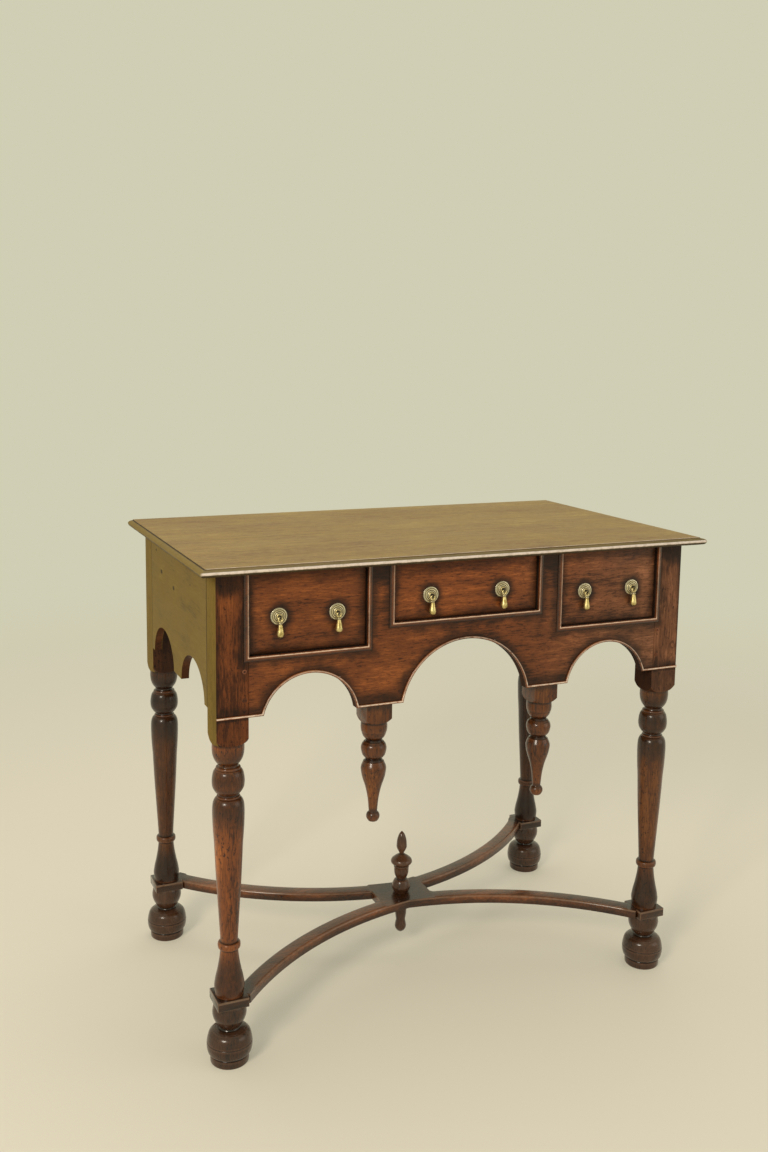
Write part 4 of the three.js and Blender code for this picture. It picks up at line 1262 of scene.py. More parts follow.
@dataclass
class FrontFace:
    """The arched front: its board, its beads, its pins and its pendants."""

    stile_inner: float = 334 * MM
    half_width: float = 380 * MM
    top: float = 716.5 * MM
    side_width: float = 174.5 * MM
    side_bottom: float = 599 * MM
    middle_width: float = 237.4 * MM
    middle_bottom: float = 629 * MM
    stile_flat: float = 513.7 * MM
    pendant_flat: float = 508.9 * MM
    pendant_flat_width: float = 73.4 * MM
    middle_arch_width: float = 204.4 * MM
    middle_arch_rise: float = 86 * MM
    side_arch_width: float = 138 * MM
    side_arch_rise: float = 56.5 * MM
    strip: float = 4 * MM
    strip_proud: float = 3 * MM
    strip_round: float = 1.8 * MM
    bead_width: float = 7 * MM
    bead_proud: float = 3.4 * MM
    arch_steps: int = 44
    pendant_width: float = 40 * MM
    pendant_block: float = 28.5 * MM
    pendant_turn: float = 154 * MM
    pendant_shoulder: float = 9 * MM
    pendant_radius: float = 19.6 * MM
    # Distance of a pendant's hollows below the board
    pendant_hollows: tuple[float, ...] = (56.7 * MM, 85.5 * MM, 166.3 * MM)
    # Share of the bead's width in from its outer edge, share of its height
    bead_shares: tuple[Point, ...] = (
        (0, 0.3), (0.12, 0.4), (0.38, 0.66), (0.62, 0.9), (0.8, 1), (0.93, 0.97), (1, 0.84))
    bead_halo: Band = Band(15, 0, 0.78)
    bead_line: Band = Band(3.5, 0.4, 0.9)
    arch_halo: Band = Band(16, 0, 0.8)
    over_flats: Band = Band(34, 8)
    # A painted shadow under the top's overhang
    painted_top_shadow: Band = Band(40, 20, 0.95)
    outer_edge: Band = Band(8, 0.5, 0.7)
    face: Band = Band(0, 1)
    reveal: Band = Band(0.6, 1.6)
    # A painted highlight along the arch bead's crest, strongest on the flats
    crest_highlight: tuple[Band, Band] = (Band(1.2, 0.3), Band(1.6, 0.6))
    on_flats: Band = Band(9, 0)
    # Painted shade on the arch bead's underside
    strip_underside_shade: Band = Band(-2.8, -4, 0.5)
    strip_reveal: Band = Band(1.6, 2.8)
    arris: float = 1.4 * MM
    # A painted highlight on the opening beads' inner arris
    arris_highlight: Band = Band(1.1, 0.3)
    slope_dirt: Band = Band(3.4, 5.8, 0.8)
    lower_bead: Band = Band(3, 0)
    hollow_dirt: Band = Band(7, 2)
    block_dirt: Band = Band(12, 3, 0.8)

    @staticmethod
    def _circle(middle: float, width: float, foot: float, rise: float) -> tuple[Point, float]:
        """Centre and radius of an arch."""
        radius = ((width / 2) ** 2 + rise ** 2) / (2 * rise)
        return (middle, foot + rise - radius), radius

    def circles(self) -> tuple[tuple[Point, float], tuple[Point, float]]:
        """The middle arch's circle and the right-hand one's.

        Returns:
            The centre and radius of each.
        """
        mean = (self.stile_flat + self.pendant_flat) / 2
        side_x = (self.middle_arch_width + self.side_arch_width) / 2 + self.pendant_flat_width
        return (self._circle(0, self.middle_arch_width, self.pendant_flat, self.middle_arch_rise),
                self._circle(side_x, self.side_arch_width, mean, self.side_arch_rise))

    def lower_edge(self, end: float, offset: float) -> list[Point]:
        """The arched lower edge from left to right.

        Args:
            end: How far it runs each way.
            offset: How far it is grown into the wood.

        Returns:
            Points of x and z.
        """
        (middle, middle_radius), (side, side_radius) = self.circles()
        flat, low = self.stile_flat + offset, self.pendant_flat + offset

        def over(centre: Point, radius: float, left: float, right: float) -> list[Point]:
            """Points over one arch between two heights."""
            start = math.pi - math.asin((left - centre[1]) / radius)
            return arc(centre, radius, start, math.asin((right - centre[1]) / radius), self.arch_steps)

        right = [*over(side, side_radius + offset, low, flat), (end, flat)]
        left = [(-x, z) for x, z in reversed(right)]
        return [*left, *over(middle, middle_radius + offset, low, low), *right]

    def _above_arches(self, at: Spot) -> Field:
        """Distance up from the top of the bead that follows the lower edge.

        Args:
            at: The spot.

        Returns:
            The distance.
        """
        across = abs(at.x)
        _, (side, _) = self.circles()
        step = across.fade(side[0], side[0] + MM) * (self.stile_flat - self.pendant_flat)
        above = at.z - (self.pendant_flat + self.strip) - step
        for centre, radius in self.circles():
            above = above.least(length(across - centre[0], at.z - centre[1]) - (radius + self.strip))
        return above

    def marks(self, at: Spot) -> Marks:
        """Dirt that wax has left round the beads and the arches, and a painted shadow under the top.

        Args:
            at: The spot.

        Returns:
            The marks.
        """
        across = abs(at.x)

        def outside(middle: float, width: float, bottom: float) -> Field:
            """Distance out from a bead that is open at the top."""
            out = (abs(across - middle) - (width / 2 + self.bead_width)).most(0.0)
            return length(out, (bottom - self.bead_width - at.z).most(0.0))

        beads = outside(self.stile_inner - self.side_width / 2, self.side_width, self.side_bottom).least(
            outside(0.0, self.middle_width, self.middle_bottom))
        arches = self._above_arches(at).most(0.0)
        wander = at.wander(8)
        flats = self.over_flats(at.z - self.pendant_flat)
        dirt_and_shade = self.bead_halo(beads + wander).most(self.bead_line(beads))
        dirt_and_shade = dirt_and_shade.most(self.arch_halo(arches + wander).most((flats + at.slow) * flats * 0.85))
        # Painted shadow under the top's overhang
        dirt_and_shade = dirt_and_shade.most(self.painted_top_shadow(self.top - at.z + wander * 0.7))
        dirt_and_shade = dirt_and_shade.most(self.outer_edge(self.half_width - across + wander * 0.4))
        reveal = self.reveal(at.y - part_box("front_board")[0].y)
        return Marks(dirt_and_shade=dirt_and_shade * self.face(at.z - self.pendant_flat),
                     zones=[(at.cool, COOL_OAK), (reveal, REVEAL_OAK)])

    def _board(self) -> None:
        """The board with its three notches and three arches."""
        low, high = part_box("front_board")
        end = self.stile_inner - SEAM
        inner = self.stile_inner - self.side_width
        half = self.middle_width / 2
        upper = [(end, self.side_bottom), (inner, self.side_bottom), (inner, high.z), (half, high.z),
                 (half, self.middle_bottom)]
        upper += [(-x, z) for x, z in reversed(upper)]
        outline = [*self.lower_edge(end, self.strip), *upper]
        work = Work.plate("arched_board", [(x, low.y, z) for x, z in outline], (0, high.y - low.y, 0))
        work.smooth(24).dress("front_board", FRONT_OAK, Grain.ALONG_X, 30, self.marks)

    def _strip(self) -> None:
        """The bead bent round the arches and carried over the stiles."""
        low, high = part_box("edge_bead")
        outline = [*self.lower_edge(high.x, 0.0), *reversed(self.lower_edge(high.x, self.strip - SEAM))]
        work = Work.plate("arch_bead", [(x, low.y, z) for x, z in outline], (0, high.y - low.y, 0))
        behind = low.y + self.strip_proud - SEAM
        for side in (-1, 1):
            work.cut(Work.between("stile", (side * (self.stile_inner - SEAM), side * (high.x + MM)),
                                  (behind, high.y + MM), (low.z - MM, high.z)))
        front = low.y + MM / 10
        work.soften(self.strip_round, lambda a, b: a.y < front and b.y < front, 6)

        def marks(at: Spot) -> Marks:
            """A painted highlight on the crest, painted shade on the underside, and dark sides."""
            depth = at.y - low.y
            above = self._above_arches(at)
            # Painted highlight along the crest, strongest on the flats
            crest = self.crest_highlight[0](abs(above + self.strip * 0.42 + at.stray(1))) * self.crest_highlight[1](depth)
            flat = self.on_flats(at.z - self.stile_flat - self.strip)
            painted_crest_highlight = crest * (0.45 + flat * 0.55) * at.breakup.fade(0.25, 0.5)
            inward = self.strip_reveal(depth)
            # Painted shade on the underside
            return Marks(painted_crest_highlight, (inward * 0.5).most(self.strip_underside_shade(above)), [(inward, REVEAL_OAK)], 1 - inward)

        work.smooth(50).dress("edge_bead", EDGE_OAK, Grain.ALONG_X, 31, marks)

    def _opening_bead(self, which: str, xs: Point, bottom: float, seed: int) -> None:
        """The mitred bead round one drawer opening.

        Args:
            which: Left, middle or right.
            xs: The opening's two sides.
            bottom: The opening's lower edge.
            seed: The seed of its finish.
        """
        node = f"opening_bead_{which}"
        _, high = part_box(node)
        width = self.bead_width
        middle, half = (xs[0] + xs[1]) / 2, (xs[1] - xs[0]) / 2
        top = high.z + width * 2
        tall = top - (bottom - width)
        work = Work.sheet(f"bead_{which}", (middle, high.y, top - tall / 2), (math.pi / 2, 0, 0),
                          xs[1] - xs[0] + 2 * width, tall)
        rings = [(width * i, self.bead_proud * u) for i, u in spline(self.bead_shares, 16)]
        bpy.ops.mesh.extrude_region_move(TRANSFORM_OT_translate={"value": (0, SEAM - rings[0][1], 0)})
        inset_rings(rings[0], rings[1:])
        bpy.ops.mesh.extrude_region_move(TRANSFORM_OT_translate={"value": (0, rings[-1][1] - SEAM, 0)})
        work.pick(lambda centre, normal: abs(normal.y) > 0.99 and abs(centre.y - high.y) < MM / 50, faces=True)
        bpy.ops.mesh.delete(type="FACE")
        bpy.ops.mesh.select_mode(type="EDGE")
        bpy.ops.mesh.select_non_manifold()
        bpy.ops.mesh.bridge_edge_loops()
        work.close().slice((0, 0, high.z), (0, 0, 1))

        def marks(at: Spot) -> Marks:
            """A painted highlight on the inner arris, palest on the lower bead, and a dark outer slope."""
            out = (abs(at.x - middle) - half).most(bottom - at.z)
            # Painted highlight on the inner arris, palest on the lower bead
            arris = self.arris_highlight(abs(out - self.arris + at.stray(1)))
            return Marks(arris * (0.4 + self.lower_bead(at.z - bottom) * 0.55),
                         self.slope_dirt(out + at.stray(2)))

        work.smooth(50).dress(node, BEAD_OAK, Grain.ALONG_X, seed, marks)

    def _pin(self, which: str, seed: int) -> None:
        """One pin of a tenon, a little domed.

        Args:
            which: Its side, and lower or upper.
            seed: The seed of its finish.
        """
        node = f"peg_{which}"
        low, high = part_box(node)
        x, _, z = middle_of(node)
        radius = (high.z - low.z) / 2
        dome = spline(((radius * 0.94, 0), (radius * 0.7, 0.4 * MM), (0, 0.55 * MM)), 6)
        outline = [(radius, low.y - high.y), (radius, -0.3 * MM), *dome]
        work = Work.turned(f"pin_{which}", outline, 20).place((x, low.y + 0.4 * MM, z), (math.pi / 2, 0, 0))
        share = 0.4 if which.endswith("upper") else 0.0

        def marks(at: Spot) -> Marks:
            """A dark edge, and on the upper pins a pale rim inside it."""
            out = length(at.x - x, at.z - z)
            rim = abs(out - radius * 0.66).fade(radius * 0.24, radius * 0.06)
            core = out.fade(radius * 0.8, radius).most(0.7 - rim * 0.6)
            return Marks(rim * share, core * (share * 1.25 + 0.4))

        work.smooth(40).dress(node, FRONT_OAK, Grain.ALONG_Y, seed, marks)

    def _pendants(self) -> None:
        """Both pendants."""
        bottom = self.pendant_flat - self.pendant_block
        pendant = CornerPost(
            self.pendant_width, bottom, self.pendant_flat - SEAM, self.pendant_shoulder, self.pendant_radius,
            PENDANT_STROKES, bottom - self.pendant_turn).build("pendant")

        def marks(at: Spot) -> Marks:
            """Hollows dark between the rings, and a block that is dark under the board."""
            down = self.pendant_flat - at.z + at.stray(8)
            dirt_and_shade = self.block_dirt(down)
            for hollow in self.pendant_hollows:
                dirt_and_shade = dirt_and_shade.most(self.hollow_dirt(abs(down - hollow)))
            return Marks(dirt_and_shade=dirt_and_shade * 0.85)

        for seed, side in enumerate(("left", "right"), 50):
            x, y, _ = middle_of(f"pendant_{side}")
            work = pendant.copy(f"turned_pendant_{side}").place((x, y, 0)).smooth(34).age(*RINGS_AGE)
            work.dress(f"pendant_{side}", TURNED_OAK.toned(0.84), Grain.ALONG_Z, seed, marks)
        pendant.remove()

    def build(self) -> None:
        """Makes every piece of the front."""
        self._board()
        self._strip()
        inner = self.stile_inner - self.side_width
        half = self.middle_width / 2
        self._opening_bead("left", (-self.stile_inner, -inner), self.side_bottom, 32)
        self._opening_bead("middle", (-half, half), self.middle_bottom, 33)
        self._opening_bead("right", (inner, self.stile_inner), self.side_bottom, 34)
        for seed, which in enumerate(("left_lower", "left_upper", "right_lower", "right_upper"), 40):
            self._pin(which, seed)
        self._pendants()


@dataclass
class Case:
    """The side panels, and the plain oak inside and behind."""

    end_flat: float = 15 * MM
    drop_width: float = 46 * MM
    arch_rise: float = 51 * MM
    arch_steps: int = 40
    tenon: float = 15 * MM
    # Old nail holes in the left panel: y, z and radius
    holes: tuple[Place, ...] = (
        (0.109, 0.661, 4.2 * MM), (0.029, 0.65, 4 * MM), (0.145, 0.69, 2.4 * MM), (-0.073, 0.675, 1.6 * MM))
    joint_dirt: Band = Band(2.6, 0.6)
    reveal: Band = Band(0.1, 0.5)

    def _panel(self, side: str, seed: int) -> None:
        """One side panel with two arches.

        Args:
            side: Left or right.
            seed: The seed of its finish.
        """
        node = f"side_panel_{side}"
        low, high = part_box(node)
        y0, y1 = low.y + self.tenon, high.y - self.tenon
        width = (y1 - y0 - 2 * self.end_flat - self.drop_width) / 2
        middle = (y0 + y1) / 2
        reach = (self.drop_width + width) / 2
        outline = [(y0, low.z)]
        for centre in (middle - reach, middle + reach):
            unit = arc((0, 0), 1, math.pi, 0, self.arch_steps)
            outline += [(centre + u * width / 2, low.z + v * self.arch_rise) for u, v in unit]
        outline += [(y1, low.z), (y1, high.z), (y0, high.z)]
        work = Work.plate(f"arched_{node}", [(low.x, y, z) for y, z in outline], (high.x - low.x, 0, 0))

        def marks(at: Spot) -> Marks:
            """Dirt at the joints with the stiles, in the arches and in old nail holes."""
            dirt_and_shade = self.joint_dirt((at.y - y0).least(y1 - at.y) + at.stray(1))
            reveal = self.reveal((high.x - low.x) / 2 - abs(at.x - (high.x + low.x) / 2))
            for hole_y, hole_z, radius in self.holes if side == "left" else ():
                dy, dz = at.y - hole_y, at.z - hole_z
                dirt_and_shade = dirt_and_shade.most((dy * dy * 0.3 + dz * dz).root().fade(radius, radius * 0.6))
            return Marks(dirt_and_shade=dirt_and_shade, zones=[(reveal, FRONT_OAK.toned(0.6))])

        # SIDE_OAK's olive is a painted reflection
        work.smooth(24).dress(node, SIDE_OAK, Grain.ALONG_Y, seed, marks)

    def build(self, frame: dict) -> None:
        """Makes the panels and finishes the nodes that keep their shape.
        """
        self._panel("left", 60)
        self._panel("right", 61)
        seed = 62
        for name, node in frame["nodes"].items():
            of_drawer = name.startswith("drawer_")
            if name.startswith("bearer_") or of_drawer and "_side_" in name:
                grain = Grain.ALONG_Y
            elif name == "back_board" or of_drawer and name.endswith(("_back", "_bottom")):
                grain = Grain.ALONG_X
            else:
                continue
            node.data.materials.clear()
            node.data.materials.append(INSIDE_OAK.material(grain, seed))
            seed += 1


@dataclass(frozen=True)
class Face:
    """A drawer front: how far apart and how high its pulls are, and how light it is."""

    which: str
    spacing: float
    height: float
    tone: float


@dataclass
class Drawers:
    """The three drawer fronts."""

    faces: tuple[Face, ...] = (
        Face("left", 86 * MM, 651 * MM, 1.0), Face("middle", 117.8 * MM, 664.2 * MM, 1.12),
        Face("right", 86 * MM, 651 * MM, 1.12))
    arris: float = 0.7 * MM
    # How far below a pull's middle the grime round its drop is centred
    hang: float = 20 * MM
    plate_dirt: Band = Band(25, 12)
    drop_dirt: Band = Band(15, 5, 0.7)
    edge_dirt: Band = Band(18, 0, 0.8)
    # A painted shadow line along the edges behind the beads, and a painted shadow under the top
    edge_shadow_painted: Band = Band(3.4, 1.4)
    painted_top_shadow: Band = Band(24, 4, 0.6)
    behind: Band = Band(1.5, 3)

    def _front(self, face: Face, seed: int) -> None:
        """One drawer front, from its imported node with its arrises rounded.

        Args:
            face: Which one it is.
            seed: The seed of its finish.
        """
        node = f"drawer_{face.which}_front"
        low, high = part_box(node)
        work = Work.copied(f"{face.which}_drawer_front", bpy.data.objects[node])
        work.edit().close().edit()
        bpy.ops.mesh.customdata_custom_splitnormals_clear()
        bpy.ops.mesh.select_all(action="SELECT")
        bpy.ops.mesh.dissolve_limited(angle_limit=math.radians(2))
        work.close()
        front = low.y + MM / 10
        work.soften(self.arris, lambda a, b: a.y < front and b.y < front and (
            abs(a.x - b.x) > 0.1 or abs(a.z - b.z) > 0.05))
        middle = (low.x + high.x) / 2

        def marks(at: Spot) -> Marks:
            """Dirt round the pulls and along the edges, a painted shadow line at the edges and under the top,
            and bare wood behind the face.
            """
            behind = self.behind(at.y - low.y)
            dx = abs(at.x - middle) - face.spacing / 2
            dz = at.z - face.height
            lower = dz + self.hang
            wander = at.wander(7)
            edge = (at.x - low.x).least(high.x - at.x).least(at.z - low.z)
            dirt_and_shade = self.plate_dirt(length(dx, dz) + wander * 0.4)
            dirt_and_shade = dirt_and_shade.most(self.drop_dirt((dx * dx * 2.2 + lower * lower * 0.5).root() + wander))
            # Dirt along the edges, and a painted shadow line right at them
            dirt_and_shade = dirt_and_shade.most(self.edge_dirt(edge + wander)).most(self.edge_shadow_painted(edge))
            # Painted shadow under the top
            dirt_and_shade = dirt_and_shade.most(self.painted_top_shadow(high.z - at.z + wander))
            return Marks(dirt_and_shade=dirt_and_shade * (0.95 - behind * 0.95),
                         zones=[(at.cool, COOL_OAK.toned(face.tone)), (behind, INSIDE_OAK.toned(0.72))])

        work.smooth(30).dress(node, FRONT_OAK.toned(face.tone), Grain.ALONG_X, seed, marks,
                              f"drawer_{face.which}")

    def build(self) -> None:
        """Makes the three fronts."""
        for seed, face in enumerate(self.faces, 20):
            self._front(face, seed)


@dataclass
class Pulls:
    """Six brass pulls: a stamped plate with a staple, and a pear drop that hangs in it."""

    plate_radius: float = 12 * MM
    plate_height: float = 4.2 * MM
    ring_radius: float = 3 * MM
    wire_radius: float = 0.9 * MM
    ring_sink: float = 0.6 * MM
    shank_radius: float = 1.6 * MM
    shank_length: float = 19.5 * MM
    eye_radius: float = 3 * MM
    eye_wire: float = 1.25 * MM
    eye_play: float = 0.3 * MM
    drop_length: float = 28.4 * MM
    drop_radius: float = 5.3 * MM
    dots: int = 34
    dot_radius: float = 0.55 * MM
    places: tuple[str, ...] = (
        "left_outer", "left_inner", "middle_left", "middle_right", "right_inner", "right_outer")
    groove_shares: tuple[float, ...] = (0.39, 0.57, 0.78, 0.96)
    # Share of the plate's radius, share of its height, from the rim in
    plate_shares: tuple[Point, ...] = (
        (1, 0), (1, 0.1), (0.975, 0.16), (0.95, 0.16), (0.93, 0.26), (0.88, 0.29), (0.85, 0.2), (0.83, 0.12),
        (0.76, 0.13), (0.73, 0.3), (0.7, 0.42), (0.64, 0.46), (0.6, 0.38), (0.58, 0.34), (0.54, 0.36),
        (0.51, 0.55), (0.47, 0.62), (0.42, 0.6), (0.39, 0.56), (0.36, 0.74), (0.31, 0.84), (0.22, 0.94),
        (0.1, 1), (0, 1))
    # Share of the drop's length up to its eye, share of its radius, from its tip up
    drop_shares: tuple[Point, ...] = (
        (0, 0), (0.008, 0.22), (0.035, 0.5), (0.11, 0.84), (0.19, 0.98), (0.26, 1), (0.36, 0.95), (0.5, 0.82),
        (0.7, 0.64), (0.84, 0.53), (0.9, 0.5))
    collar_shares: tuple[Point, ...] = ((0.905, 0.58), (0.93, 0.66), (0.955, 0.58), (0.96, 0.48), (1, 0.46))

    @property
    def standoff(self) -> float:
        """Height of the staple's middle above the plate's back."""
        return self.plate_height + self.ring_radius - self.ring_sink

    def _plate(self) -> Work:
        """The plate and its staple, with the plate's back at the origin, facing +Z.

        Returns:
            The work.
        """
        outline = [(r * self.plate_radius, h * self.plate_height) for r, h in self.plate_shares]
        work = Work.turned("plate", outline, 64)
        Work.clear()
        bpy.ops.mesh.primitive_torus_add(
            major_radius=self.ring_radius, minor_radius=self.wire_radius, major_segments=36, minor_segments=14,
            location=(0, 0, self.standoff), rotation=(0, math.pi / 2, 0))
        work.join(Work("staple"))
        work.join(Work.turned("shank", [(self.shank_radius, -self.shank_length), (self.shank_radius, MM)], 16))
        dots = []
        for x, y in arc((0, 0), self.plate_radius * 0.795, 0, math.tau, self.dots)[:-1]:
            Work.clear()
            bpy.ops.mesh.primitive_ico_sphere_add(
                subdivisions=1, radius=self.dot_radius, location=(x, y, self.plate_height * 0.14))
            dots.append(Work("dot"))
        return work.gather(dots)

    def _drop(self) -> Work:
        """The drop, hanging from the point where it turns.

        Returns:
            The work.
        """
        Work.clear()
        bpy.ops.mesh.primitive_torus_add(
            major_radius=self.eye_radius, minor_radius=self.eye_wire, major_segments=40, minor_segments=16,
            location=(0, 0, -self.eye_radius), rotation=(math.pi / 2, 0, 0))
        work = Work("drop")
        span = self.drop_length - 2 * self.eye_radius - self.eye_wire / 2
        outline = [(r * self.drop_radius, a * span - self.drop_length)
                   for a, r in (*spline(self.drop_shares, 26), *spline(self.collar_shares, 8))]
        return work.join(Work.turned("pear", outline, 40))

    def build(self, frame: dict) -> None:
        """Makes one pull and copies it to its six places.
        """
        plate = self._plate()
        drop = self._drop()
        hang = self.ring_radius - self.wire_radius - self.eye_wire - self.eye_play
        joints = {joint["child"]: joint for joint in frame["joints"]}
        for i, where in enumerate(self.places):
            joint = joints[f"drop_{where}"]
            pivot = Vector(joint["pos_m"])

            def grooves_and_eye_shade(place: Field, pivot: Vector = pivot) -> Field:
                """Dark rings, and painted shade on the middle behind the drop's eye."""
                x, _, z = place.shader.parts(place)
                share = length(x - pivot.x, z - (pivot.z + hang)) / self.plate_radius
                # Painted shade on the plate's middle, seen through the drop's eye
                dark = share.fade(0.3, 0.2)
                for ring in self.groove_shares:
                    dark = dark.most(abs(share - ring).fade(0.045, 0.015) * 0.65)
                return dark

            work = plate.copy(f"brass_plate_{where}")
            work.place((pivot.x, pivot.y + self.standoff, pivot.z + hang), (math.pi / 2, 0, 0))
            work.smooth(40).age((350, 1500), (300, 1500))
            work.hand_over(joint["parent"], "brass", f"pull_plate_{where}", Brass().material(70 + i, grooves_and_eye_shade))
            work = drop.copy(f"brass_drop_{where}").place(tuple(pivot)).smooth(60).age((500, 2500), (500, 2000))
            work.hand_over(f"drop_{where}", "brass", f"pull_drop_{where}", Brass().material(80 + i))
        plate.remove()
        drop.remove()


@dataclass
class Stretcher:
    """The crossed stretcher, its finial and the drop under it."""

    arm_width: float = 25 * MM
    arm_steps: int = 48
    bevel: float = 4 * MM
    # How far from the middle and from the platform the bevel stops
    stops: Point = (46 * MM, 8 * MM)
    offset: float = 22.5 * MM
    start_degrees: float = 6.9
    platform: float = 46 * MM
    platform_arris: float = 0.9 * MM
    crossing_half: Point = (46 * MM, 17 * MM)
    dowel_hole: float = 8.3 * MM
    spigot: float = 5 * MM
    spigot_hole: float = 5.3 * MM
    bore_depth: float = 13 * MM
    finial_height: float = 107.5 * MM
    finial_radius: float = 18 * MM
    drop_radius: float = 9.6 * MM
    hub_dirt: Band = Band(62, 30)
    leg_dirt: Band = Band(50, 26)
    # A painted highlight along the arms' top bevels
    bevel_highlight: tuple[Band, Band] = (Band(-4, -2), Band(-0.1, -0.6))

    def _arm(self, low: Vector, high: Vector) -> Work:
        """The arm that runs right and back, with its top arrises taken off between stops.

        Args:
            low: The piece's lowest corner.
            high: Its highest corner.

        Returns:
            The arm.
        """
        middle_y = (low.y + high.y) / 2
        end_x = high.x - self.platform
        axis_y = high.y - middle_y - self.platform / 2
        chord = Vector((end_x, axis_y - self.offset))
        start = math.radians(self.start_degrees)
        turn = 2 * (math.atan2(chord.y, chord.x) - start)
        radius = chord.length / (2 * math.sin(turn / 2))
        centre = (-radius * math.sin(start), self.offset + radius * math.cos(start))
        extra = math.asin(self.arm_width / 3 / radius)
        work = Work.sheet(
            "arm", (0, self.offset, (low.z + high.z) / 2), (math.pi / 2, 0, math.pi / 2 + start),
            self.arm_width, high.z - low.z)
        bpy.ops.mesh.spin(steps=self.arm_steps, angle=-turn - extra, center=(*centre, 0), axis=(0, 0, 1))
        work.close()

        def angle_of(place: Vector) -> float:
            """How far round the arc a point is."""
            return math.atan2(place.x - centre[0], centre[1] - place.y) - start

        first, last = self.stops[0] / radius, turn - self.stops[1] / radius

        def chamfered(a: Vector, b: Vector) -> bool:
            """Whether an edge is a top arris between the stops."""
            on_top = a.z > high.z - MM / 10 and b.z > high.z - MM / 10
            along = abs(angle_of(a) - angle_of(b)) > 0.2 * (turn + extra) / self.arm_steps
            return on_top and along and first < (angle_of(a) + angle_of(b)) / 2 < last

        return work.soften(self.bevel, chamfered, 4)

    def _piece(self, name: str, node: str, flip: bool, seed: int) -> None:
        """One of the two pieces, halved in the middle.

        Args:
            name: The name of the piece.
            node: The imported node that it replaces.
            flip: Whether it runs the other way and keeps the upper half of the lap.
            seed: The seed of its finish.
        """
        low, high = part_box(node)
        _, middle_y, centre = middle_of(node)
        half = self.platform / 2
        far = high.y - middle_y - half

        def hole(radius: float) -> Work:
            """A cutter for a round hole through the piece."""
            return Work.turned("hole", [(radius, low.z - SPARE), (radius, high.z + SPARE)], 32)

        work = self._arm(low, high).slice((0, 0, 0), (-1, 0, 0))
        pad = Work.between("pad", (high.x - self.platform, high.x), (far - half, far + half), (low.z, high.z))
        work.join(pad.soften(self.platform_arris, segments=2))
        work.cut(hole(self.dowel_hole).place((high.x - half, far, 0)))
        twin = work.copy("twin").place((0, 0, 0), (0, 0, math.pi))
        x, y = self.crossing_half
        block = Work.between(name, (-x, x), (-y, y), (low.z, high.z))
        # The block has the name at this point, so Blender adds .001 to the piece's own
        work.object.name = name
        work.join(block).join(twin)
        gone = (low.z - SPARE, centre + SEAM / 2) if flip else (centre - SEAM / 2, high.z + SPARE)
        work.cut(Work.between("lap", (-x - SEAM, x + SEAM), (-y - SEAM, y + SEAM), gone))
        work.cut(hole(self.spigot_hole))
        work.place((0, middle_y, 0), scale=(1, -1 if flip else 1, 1))

        def marks(at: Spot) -> Marks:
            """Dirt where the finial and the legs stand, painted shade low on the arms' sides, and a painted
            highlight on the top bevels.
            """
            dy = at.y - middle_y
            wander = at.stray(8)
            near = self.hub_dirt(length(at.x, dy) + wander).most(
                self.leg_dirt(length(abs(at.x) - (high.x - half), abs(dy) - far) + wander)) * 0.85
            # Painted shade, darker towards the bottom of the arms' sides
            side = (at.z + wander * 0.5).fade(high.z - 4 * MM, low.z + 3 * MM) * 0.75
            above = at.z - high.z
            # Painted highlight along the top bevels
            return Marks(self.bevel_highlight[0](above) * self.bevel_highlight[1](above) * 0.8, near.most(side))

        work.smooth(24).age((250, 1200), (90, 520)).dress(node, STRETCHER_OAK, Grain.ALONG_X, seed, marks)

    def build(self) -> None:
        """Makes both pieces, the finial and its drop."""
        self._piece("lower_stretcher", "stretcher_under", False, 90)
        self._piece("upper_stretcher", "stretcher_over", True, 91)
        low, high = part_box("finial")
        axis = (0, (low.y + high.y) / 2, 0)
        base = high.z - self.finial_height
        outline = turned_outline(FINIAL_STROKES, base, self.finial_height, self.finial_radius)
        outline = [(self.spigot, low.z), (self.spigot, base), *outline]
        finial = Work.turned("turned_finial", outline, 48).place(axis)
        low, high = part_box("finial_drop")
        outline = turned_outline(FINIAL_DROP_STROKES, low.z, high.z - low.z, self.drop_radius)
        drop = Work.turned("turned_finial_drop", outline, 40).place(axis)
        bore = [(self.spigot_hole, high.z - self.bore_depth), (self.spigot_hole, high.z + MM)]
        drop.cut(Work.turned("bore", bore, 24).place(axis))
        for work, node, seed in ((finial, "finial", 92), (drop, "finial_drop", 93)):
            work.smooth(40).age(*FINIAL_AGE).dress(node, FOOT_OAK, Grain.ALONG_Z, seed)


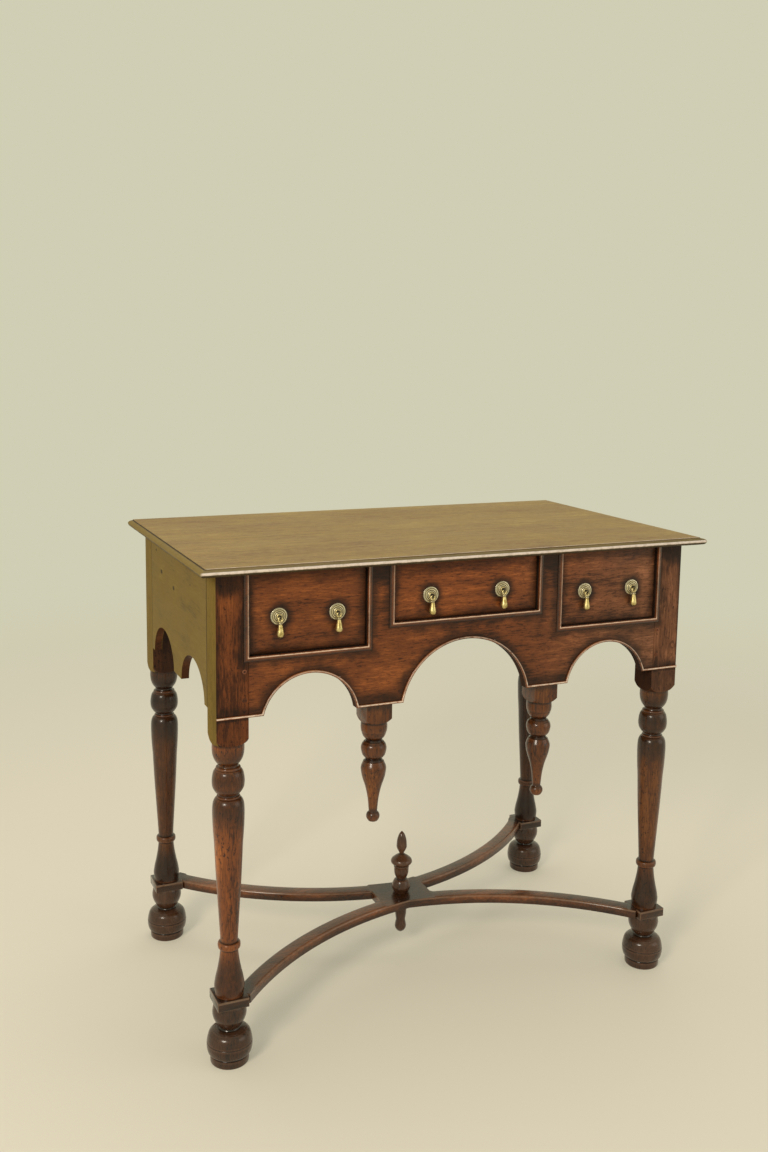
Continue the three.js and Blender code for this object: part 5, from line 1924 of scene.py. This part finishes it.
@dataclass
class Studio:
    """The floor, the lamps, the world and the camera at the photograph's angle."""

    eye: Place = (-0.7880, -1.70045, 1.0229)
    right_degrees: float = 23.601
    down_degrees: float = 8.090
    roll_degrees: float = 0.790
    lens_share: float = 1172.1 / 1152
    rise_share: float = (510.17 - 576) / 1152
    sensor: float = 36.0
    background: str = "d0ceb4"
    sky: str = "e8e6dc"
    sky_strength: float = 0.55
    floor_tint: str = "fbf0dc"
    floor_near: float = 0.9
    floor_far: float = 3.2
    floor_lift: float = 0.35

    def _camera(self) -> None:
        """The camera, turned right, down and rolled as the photograph's was."""
        data = bpy.data.cameras.new("camera")
        data.sensor_width = self.sensor
        data.lens = self.sensor * self.lens_share
        data.shift_y = self.rise_share
        data.clip_end = 50
        camera = bpy.data.objects.new("camera", data)
        right, down = math.radians(self.right_degrees), math.radians(self.down_degrees)
        forward = Vector((
            math.sin(right) * math.cos(down), math.cos(right) * math.cos(down), -math.sin(down)))
        across = forward.cross(Vector((0, 0, 1))).normalized()
        up = across.cross(forward)
        roll = math.radians(self.roll_degrees)
        x = across * math.cos(roll) + up * math.sin(roll)
        y = up * math.cos(roll) - across * math.sin(roll)
        matrix = Matrix((x, y, -forward)).transposed().to_4x4()
        matrix.translation = self.eye
        camera.matrix_world = matrix
        bpy.context.scene.collection.objects.link(camera)
        bpy.context.scene.camera = camera

    def _lamp(self, name: str, place: Place, aim: Place, size: float, power: float, tint: str) -> None:
        """One soft area lamp.

        Args:
            name: Its name.
            place: Where it is.
            aim: What it points at.
            size: Its width.
            power: Its power in watts.
            tint: Its colour.
        """
        data = bpy.data.lights.new(name, "AREA")
        data.size = size
        data.energy = power
        data.color = colour(tint)[:3]
        lamp = bpy.data.objects.new(name, data)
        lamp.location = place
        lamp.rotation_euler = (Vector(aim) - Vector(place)).to_track_quat("-Z", "Y").to_euler()
        bpy.context.scene.collection.objects.link(lamp)

    def _floor(self) -> None:
        """A plain pale floor."""
        Work.clear()
        bpy.ops.mesh.primitive_plane_add(size=14, location=(0, 0, 0))
        floor = Work("floor").object
        shader = Shader(bpy.data.materials.new("floor"))
        wood = shader.node("ShaderNodeBsdfPrincipled", {}, {
            "Base Color": colour(self.floor_tint), "Roughness": 0.8, "Specular IOR Level": 0.2})
        far = shader.node("ShaderNodeEmission", {}, {"Color": colour(self.background), "Strength": 1.0})
        x, y, _ = shader.parts(shader.place())
        spread = length(x, y).fade(self.floor_near, self.floor_far)
        blend = (spread * (1 - self.floor_lift) + self.floor_lift) * shader.seen()
        mixed = shader.node("ShaderNodeMixShader", {}, {0: blend, 1: wood, 2: far})
        shader.node("ShaderNodeOutputMaterial", {}, {"Surface": mixed})
        floor.data.materials.append(shader.owner)

    def _world(self) -> None:
        """Soft light from all round, and a pale background that only the camera sees."""
        world = bpy.data.worlds.new("studio")
        bpy.context.scene.world = world
        shader = Shader(world)
        light, backdrop = (
            shader.node("ShaderNodeBackground", {}, {"Color": colour(tint), "Strength": strength})
            for tint, strength in ((self.sky, self.sky_strength), (self.background, 1.0)))
        mixed = shader.node("ShaderNodeMixShader", {}, {0: shader.seen(), 1: light, 2: backdrop})
        shader.node("ShaderNodeOutputWorld", {}, {"Surface": mixed})

    def build(self) -> None:
        """Makes the whole studio."""
        self._camera()
        self._floor()
        self._world()
        self._lamp("window", (-2.6, -2.2, 2.2), (0, 0, 0.5), 0.9, 62, "fff6e6")
        self._lamp("fill", (2.8, -2.4, 1.6), (0, 0, 0.4), 2.4, 16, "fff8f0")
        self._lamp("above", (0.2, 0.6, 3.0), (0, 0, 0.6), 2.2, 20, "fffdf4")
        bpy.context.scene.view_settings.view_transform = "Standard"


def corners(bounds: tuple[Vector, Vector]) -> list[list[float]]:
    """Two corners as plain lists."""
    return [list(corner) for corner in bounds]


def main() -> None:
    """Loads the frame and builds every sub-assembly."""
    logging.basicConfig(level=logging.INFO, format="%(message)s")
    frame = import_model()
    Studio().build()
    TableTop().build()
    Legs().build()
    FrontFace().build()
    Case().build(frame)
    Drawers().build()
    Pulls().build(frame)
    Stretcher().build()


if __name__ == "__main__":
    main()
